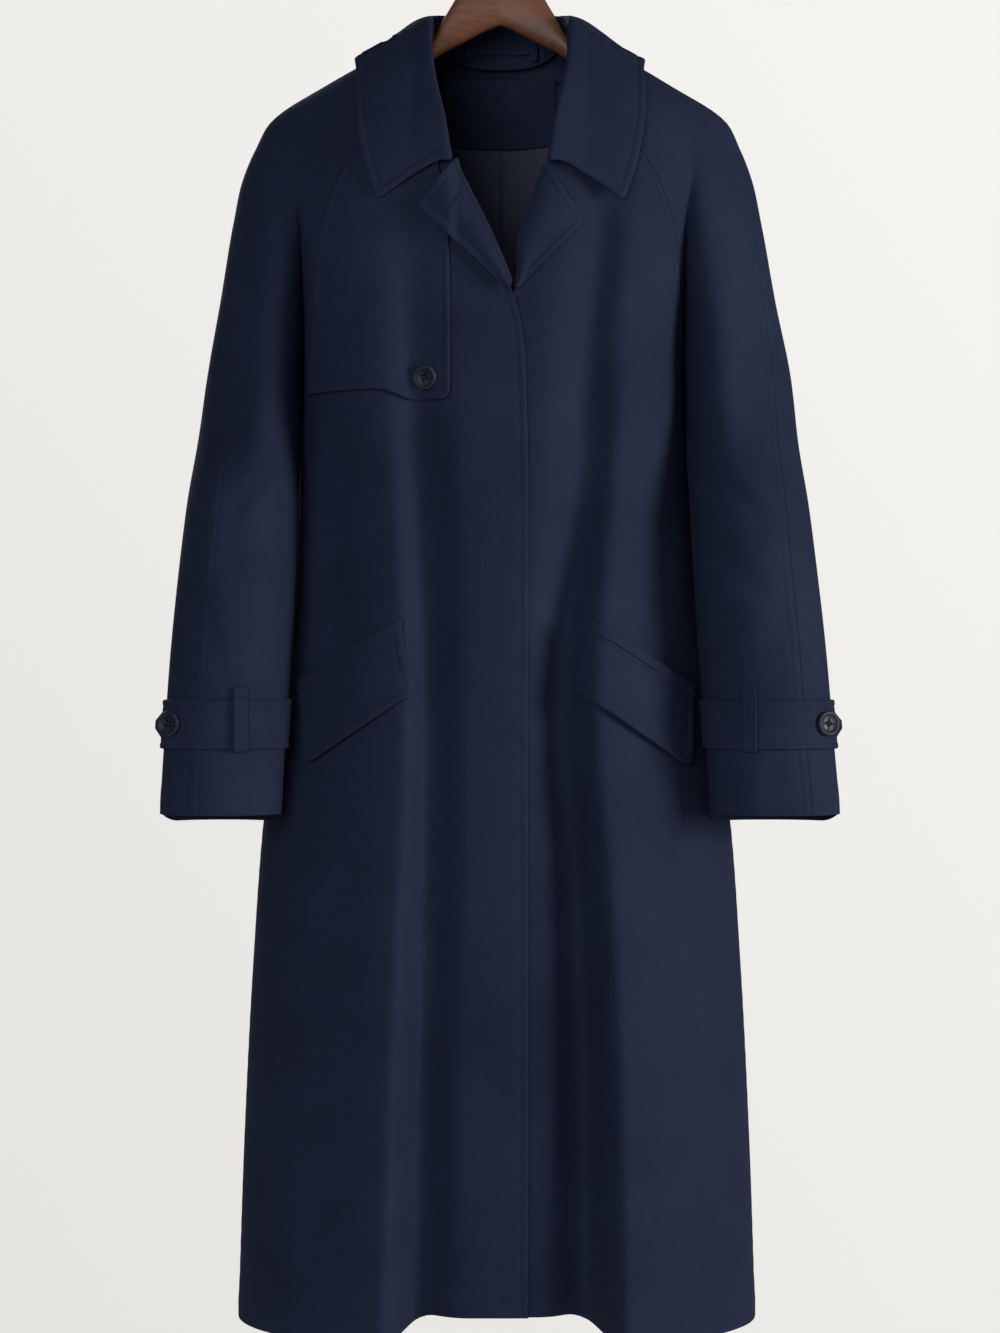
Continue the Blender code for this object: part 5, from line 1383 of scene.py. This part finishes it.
def button(name, node, centre, facing, diameter, thickness, spin):
    """centre is the middle of its back; facing points away from the cloth."""
    turn = Vector(facing).normalized().to_track_quat("Z", "Y")
    rings, faces = [], []
    for radius, height in BUTTON_PROFILE[1:-1]:
        for i in range(BUTTON_SIDES):
            angle = 2 * math.pi * i / BUTTON_SIDES
            rings.append((math.cos(angle) * radius * diameter / 2, math.sin(angle) * radius * diameter / 2,
                          height * thickness))
    count = len(BUTTON_PROFILE) - 2
    for k in range(count - 1):
        for i in range(BUTTON_SIDES):
            a, b = k * BUTTON_SIDES + i, k * BUTTON_SIDES + (i + 1) % BUTTON_SIDES
            faces.append((a, b, b + BUTTON_SIDES, a + BUTTON_SIDES))
    faces.append(tuple(range(BUTTON_SIDES))[::-1])
    faces.append(tuple(range((count - 1) * BUTTON_SIDES, count * BUTTON_SIDES)))
    piece = mesh_piece(name, rings, faces, resin)
    holes = []
    for k in range(4):
        angle = spin + math.pi / 4 + k * math.pi / 2
        bpy.ops.mesh.primitive_cylinder_add(vertices=20, radius=HOLE_RADIUS, depth=4 * thickness,
                                            location=(HOLE_OUT * math.cos(angle),
                                                      HOLE_OUT * math.sin(angle), 0))
        holes.append(bpy.context.object)
    for hole in holes:
        cut = piece.modifiers.new("hole", "BOOLEAN")
        cut.object, cut.operation, cut.solver = hole, "DIFFERENCE", "EXACT"
    drilled = bpy.data.meshes.new_from_object(piece.evaluated_get(bpy.context.evaluated_depsgraph_get()))
    piece.modifiers.clear()
    piece.data = drilled
    for hole in holes:
        bpy.data.objects.remove(hole, do_unlink=True)
    drilled.transform(turn.to_matrix().to_4x4())
    drilled.transform(Matrix.Translation(Vector(centre)))
    sew(piece, "buttons", node)
    runs = []
    for k in (0, 1):
        angle = spin + math.pi / 4 + k * math.pi / 2
        bow = np.linspace(-1.0, 1.0, 9)
        local = [Vector((HOLE_OUT * s * math.cos(angle), HOLE_OUT * s * math.sin(angle),
                         thickness * (0.60 + 0.16 * (1 - s * s) + 0.05 * k) - (0.0006 if abs(s) == 1 else 0)))
                 for s in bow]
        path = np.array([Vector(centre) + turn @ p for p in local])
        runs.append((path, np.tile(np.array(turn @ Vector((0, 0, 1))), (len(path), 1))))
    stitches("thread_" + name, runs, thread, length=2.15 * HOLE_OUT, gap=0.0, radius=0.00042)
    return piece


# A near-black finish for the tube down each buttonhole slit: painted shade.
shade = bpy.data.materials.new("slit shade")
shade.use_nodes = True
shade.node_tree.nodes["Principled BSDF"].inputs["Base Color"].default_value = (0.003, 0.004, 0.008, 1.0)
shade.node_tree.nodes["Principled BSDF"].inputs["Roughness"].default_value = 0.9


def buttonhole(name, start, end, place, width=0.0011):
    """A slit from start to end on a face that place gives, bound with close stitches, with a near-black tube
    of painted shade down its middle.
    """
    start, end = np.array(start), np.array(end)
    run = (end - start) / np.linalg.norm(end - start)
    side = np.array((-run[1], run[0]))
    length = np.linalg.norm(end - start)
    threads = []
    for t in np.arange(0.0, length, 0.00062):
        for hand in (-1, 1):
            inner, outer = start + run * t + side * hand * 0.0002, start + run * t + side * hand * width
            ends = np.array([inner, (inner + outer) / 2, outer])
            threads.append(place(ends[:, 0], ends[:, 1]))
    for at, hand in ((start, -1), (end, 1)):
        for angle in np.linspace(-1.2, 1.2, 6):
            ray = hand * run * math.cos(angle) + side * math.sin(angle)
            ends = np.array([at + ray * 0.0003, at + ray * width * 0.7, at + ray * width])
            threads.append(place(ends[:, 0], ends[:, 1]))
    stitches(name, threads, thread, length=width * 0.86, gap=0.0001, radius=0.00030)
    # A near-black tube along the slit: painted shade for the dark gap.
    slit = np.array([start + (end - start) * t for t in np.linspace(0.0, 1.0, 9)])
    stitches(name + "_slit_painted_shade", [place(slit[:, 0], slit[:, 1])], shade, length=length, gap=0.0001,
             radius=0.00042)


def gun_place(x, z):
    path = on_front(x, z, gun_height(x, z) + 0.0001, RIGHT)
    return path, np.tile((0.0, -1.0, 0.0), (len(path), 1))


CHEST_BUTTON = (-0.0661, -0.4550)
spot = np.array([CHEST_BUTTON[0], CHEST_BUTTON[0] + 0.006, CHEST_BUTTON[0] - 0.006, CHEST_BUTTON[0],
                 CHEST_BUTTON[0]])
spot_z = np.array([CHEST_BUTTON[1], CHEST_BUTTON[1], CHEST_BUTTON[1], CHEST_BUTTON[1] + 0.006,
                   CHEST_BUTTON[1] - 0.006])
chest = on_front(spot, spot_z, gun_height(spot, spot_z), RIGHT)
out = np.cross(chest[1] - chest[2], chest[3] - chest[4])
out *= -np.sign(out[1]) / np.linalg.norm(out)
button("gun_flap_button", "button_chest", chest[0] + out * BUTTON_GAP, out, 0.0230, 0.0042, 0.3)
buttonhole("buttonhole_gun_flap", (-0.0832, -0.4358), (-0.0742, -0.4450), gun_place)


def lapel_place(x, z):
    """Points on the right lapel's face at these x and z."""
    shares, reaches = np.meshgrid(np.linspace(0, 1, 80), np.linspace(1.0, 2.0, 80))
    face = lapel_face(RIGHT, reaches, shares)[0].reshape(-1, 3)
    at = [face[np.argsort((face[:, 0] - px) ** 2 + (face[:, 2] - pz) ** 2)[:4]].mean(axis=0)
          for px, pz in zip(x, z)]
    at = np.stack([x, np.array(at)[:, 1] - 0.0004, z], axis=1)
    return at, np.tile((0.0, -1.0, 0.0), (len(at), 1))


buttonhole("buttonhole_lapel", (-0.0344, -0.2890), (-0.0465, -0.3050), lapel_place)

for sign, side in NAMES.items():
    grid, normals, a, b = strap_faces[sign]
    row = int(np.argmin(np.abs(b[:, 60] - STRAP_HALF)))
    at = int(np.argmin(np.abs(a[row] - BUTTON_FROM_TIP)))
    seat, facing = grid[row, at], normals[row, at]
    button("cuff_button_" + side, "button_cuff_" + side, seat + facing * BUTTON_GAP, facing, 0.0230, 0.0040,
           0.2 + 0.5 * sign)

    def strap_place(along_strap, up, grid=grid, normals=normals, a=a, b=b):
        """Points on the strap's face at distances along it and up from its middle."""
        found = []
        for distance, rise in zip(along_strap, up):
            i = int(np.argmin(np.abs(b[:, 60] - (STRAP_HALF - rise))))
            j = int(np.clip(np.searchsorted(a[i], distance), 1, a.shape[1] - 1))
            t = (distance - a[i, j - 1]) / (a[i, j] - a[i, j - 1])
            found.append((grid[i, j - 1] * (1 - t) + grid[i, j] * t, normals[i, j]))
        points = np.array([point for point, _ in found])
        points[:, 2] = STRAP_Z + np.array(up)
        return points, np.array([normal for _, normal in found])

    buttonhole("buttonhole_cuff_" + side, (BUTTON_FROM_TIP + 0.0135, 0.0),
               (BUTTON_FROM_TIP + 0.0190, 0.0), strap_place)

# ---- The hanger: beech shaped wide at the shoulders, stained red-brown and
# lacquered, with a hook of bright steel wire screwed into its neck.
HANGER_COLUMNS = ("x", "top", "bottom", "mid_y", "half_y")
HANGER = np.array([
    (0.000, -0.0570, -0.1140, 0.000, 0.0085),
    (0.018, -0.0635, -0.1220, 0.000, 0.0088),
    (0.035, -0.0790, -0.1310, 0.000, 0.0092),
    (0.050, -0.1030, -0.1385, 0.000, 0.0096),
    (0.066, -0.1290, -0.1480, 0.000, 0.0100),
    (0.100, -0.1412, -0.1660, 0.000, 0.0115),
    (0.135, -0.1602, -0.1850, 0.001, 0.0135),
    (0.170, -0.1830, -0.2060, 0.002, 0.0150),
    (0.198, -0.2030, -0.2230, 0.002, 0.0140),
    (0.206, -0.2110, -0.2220, 0.002, 0.0090),
])


def wood_finish():
    """Long straight grain, dark pores drawn along it, under a thin lacquer."""
    material = bpy.data.materials.new("hanger wood")
    material.use_nodes = True
    tree = material.node_tree
    shader = tree.nodes["Principled BSDF"]
    along_grain = add(tree, "UVMap", uv_map="weave").outputs["UV"]
    grain = add(tree, "VectorMath", {0: along_grain, 1: (9.0, 260.0, 1.0)}, operation="MULTIPLY")
    bands = add(tree, "TexNoise", {"Vector": grain.outputs[0], "Scale": 1.0, "Detail": 5.0,
                                   "Distortion": 0.4})
    pores = add(tree, "VectorMath", {0: along_grain, 1: (70.0, 2400.0, 1.0)}, operation="MULTIPLY")
    flecks = add(tree, "TexNoise", {"Vector": pores.outputs[0], "Scale": 1.0, "Detail": 2.0})
    fleck = add(tree, "MapRange", {"Value": flecks.outputs["Fac"], "From Min": 0.56, "From Max": 0.70})
    ramp = add(tree, "Mix", {"Factor": bands.outputs["Fac"]}, data_type="RGBA")
    ramp.inputs[6].default_value = (0.120, 0.042, 0.020, 1.0)
    ramp.inputs[7].default_value = (0.310, 0.116, 0.054, 1.0)
    dark = add(tree, "Mix", {"Factor": fleck.outputs["Result"]}, data_type="RGBA")
    tree.links.new(ramp.outputs[2], dark.inputs[6])
    dark.inputs[7].default_value = (0.085, 0.030, 0.016, 1.0)
    rough = add(tree, "MapRange", {"Value": bands.outputs["Fac"], "To Min": 0.40, "To Max": 0.56})
    bumps = add(tree, "Bump", {"Strength": 0.08, "Distance": 0.0003, "Height": flecks.outputs["Fac"]})
    tree.links.new(dark.outputs[2], shader.inputs["Base Color"])
    tree.links.new(rough.outputs["Result"], shader.inputs["Roughness"])
    tree.links.new(bumps.outputs["Normal"], shader.inputs["Normal"])
    shader.inputs["Coat Weight"].default_value = 0.10
    shader.inputs["Coat Roughness"].default_value = 0.30
    return material


def steel_finish():
    material = bpy.data.materials.new("hanger steel")
    material.use_nodes = True
    tree = material.node_tree
    shader = tree.nodes["Principled BSDF"]
    shader.inputs["Base Color"].default_value = (0.66, 0.66, 0.68, 1.0)
    shader.inputs["Metallic"].default_value = 1.0
    where = add(tree, "TexCoord").outputs["Object"]
    smears = add(tree, "TexNoise", {"Vector": where, "Scale": 240.0, "Detail": 4.0})
    rough = add(tree, "MapRange", {"Value": smears.outputs["Fac"], "To Min": 0.10, "To Max": 0.30})
    tree.links.new(rough.outputs["Result"], shader.inputs["Roughness"])
    return material


def tube(name, rings, material, uv):
    """A closed solid through rings of equal count, capped at both ends."""
    count = len(rings[0])
    faces = []
    for i in range(len(rings) - 1):
        for j in range(count):
            a, b = i * count + j, i * count + (j + 1) % count
            faces.append((a, b, b + count, a + count))
    faces.append(tuple(range(count))[::-1])
    faces.append(tuple(range((len(rings) - 1) * count, len(rings) * count)))
    piece = mesh_piece(name, np.concatenate(rings), faces, material, uv)
    fix = bmesh.new()
    fix.from_mesh(piece.data)
    bmesh.ops.recalc_face_normals(fix, faces=fix.faces)
    fix.to_mesh(piece.data)
    fix.free()
    return piece


WOOD_SIDES, WOOD_RINGS = 48, 150
reach = np.linspace(-1.0, 1.0, WOOD_RINGS)
rings, uv = [], []
for s in reach:
    x = float(np.sign(s) * HANGER[-1, 0] * abs(s) ** 0.92)
    depth_table = np.column_stack([-HANGER[:, 0], HANGER[:, 1:]])
    top, bottom, mid_y, half_y = (float(column(depth_table, HANGER_COLUMNS, name, -abs(x)))
                                  for name in HANGER_COLUMNS[1:])
    tall = (top - bottom) / 2
    ring = []
    for j in range(WOOD_SIDES):
        angle = 2 * math.pi * j / WOOD_SIDES
        c, v = math.cos(angle), math.sin(angle)
        ring.append((x, mid_y + half_y * abs(c) ** 0.80 * np.sign(c),
                     (top + bottom) / 2 + tall * abs(v) ** 0.92 * np.sign(v)))
        uv.append((x, ring[-1][2] + ring[-1][1]))
    rings.append(np.array(ring))
sew(tube("hanger_arms", rings, wood_finish(), np.array(uv)), "hanger_wood", "hanger_wood")

HOOK_WIRE, HOOK_RADIUS, HOOK_SIDES = 0.0021, 0.0200, 24
HOOK_MIDDLE_Z = HOOK_WIRE - HOOK_RADIUS
bend = np.radians(np.linspace(-72.0, 198.0, 80))
hook = np.concatenate([
    np.stack([np.zeros(6), np.linspace(-0.0567, -0.0460, 6)], axis=1),
    np.stack([HOOK_RADIUS * np.cos(bend), HOOK_MIDDLE_Z + HOOK_RADIUS * np.sin(bend)], axis=1)])
runs = np.gradient(hook, axis=0)
runs /= np.linalg.norm(runs, axis=1, keepdims=True)
rings, uv = [], []
for i, ((x, z), (run_x, run_z)) in enumerate(zip(hook, runs)):
    end = min(1.0, (len(hook) - 1 - i) / 4)
    wire = HOOK_WIRE * math.sqrt(1 - (1 - end) ** 2 * 0.9)
    ring = []
    for j in range(HOOK_SIDES):
        angle = 2 * math.pi * j / HOOK_SIDES
        ring.append((x - run_z * wire * math.cos(angle), wire * math.sin(angle),
                     z + run_x * wire * math.cos(angle)))
        uv.append((i * 0.001, j * 0.001))
    rings.append(np.array(ring))
sew(tube("hanger_hook_wire", rings, steel_finish(), np.array(uv)), "hanger_steel", "hanger_hook")
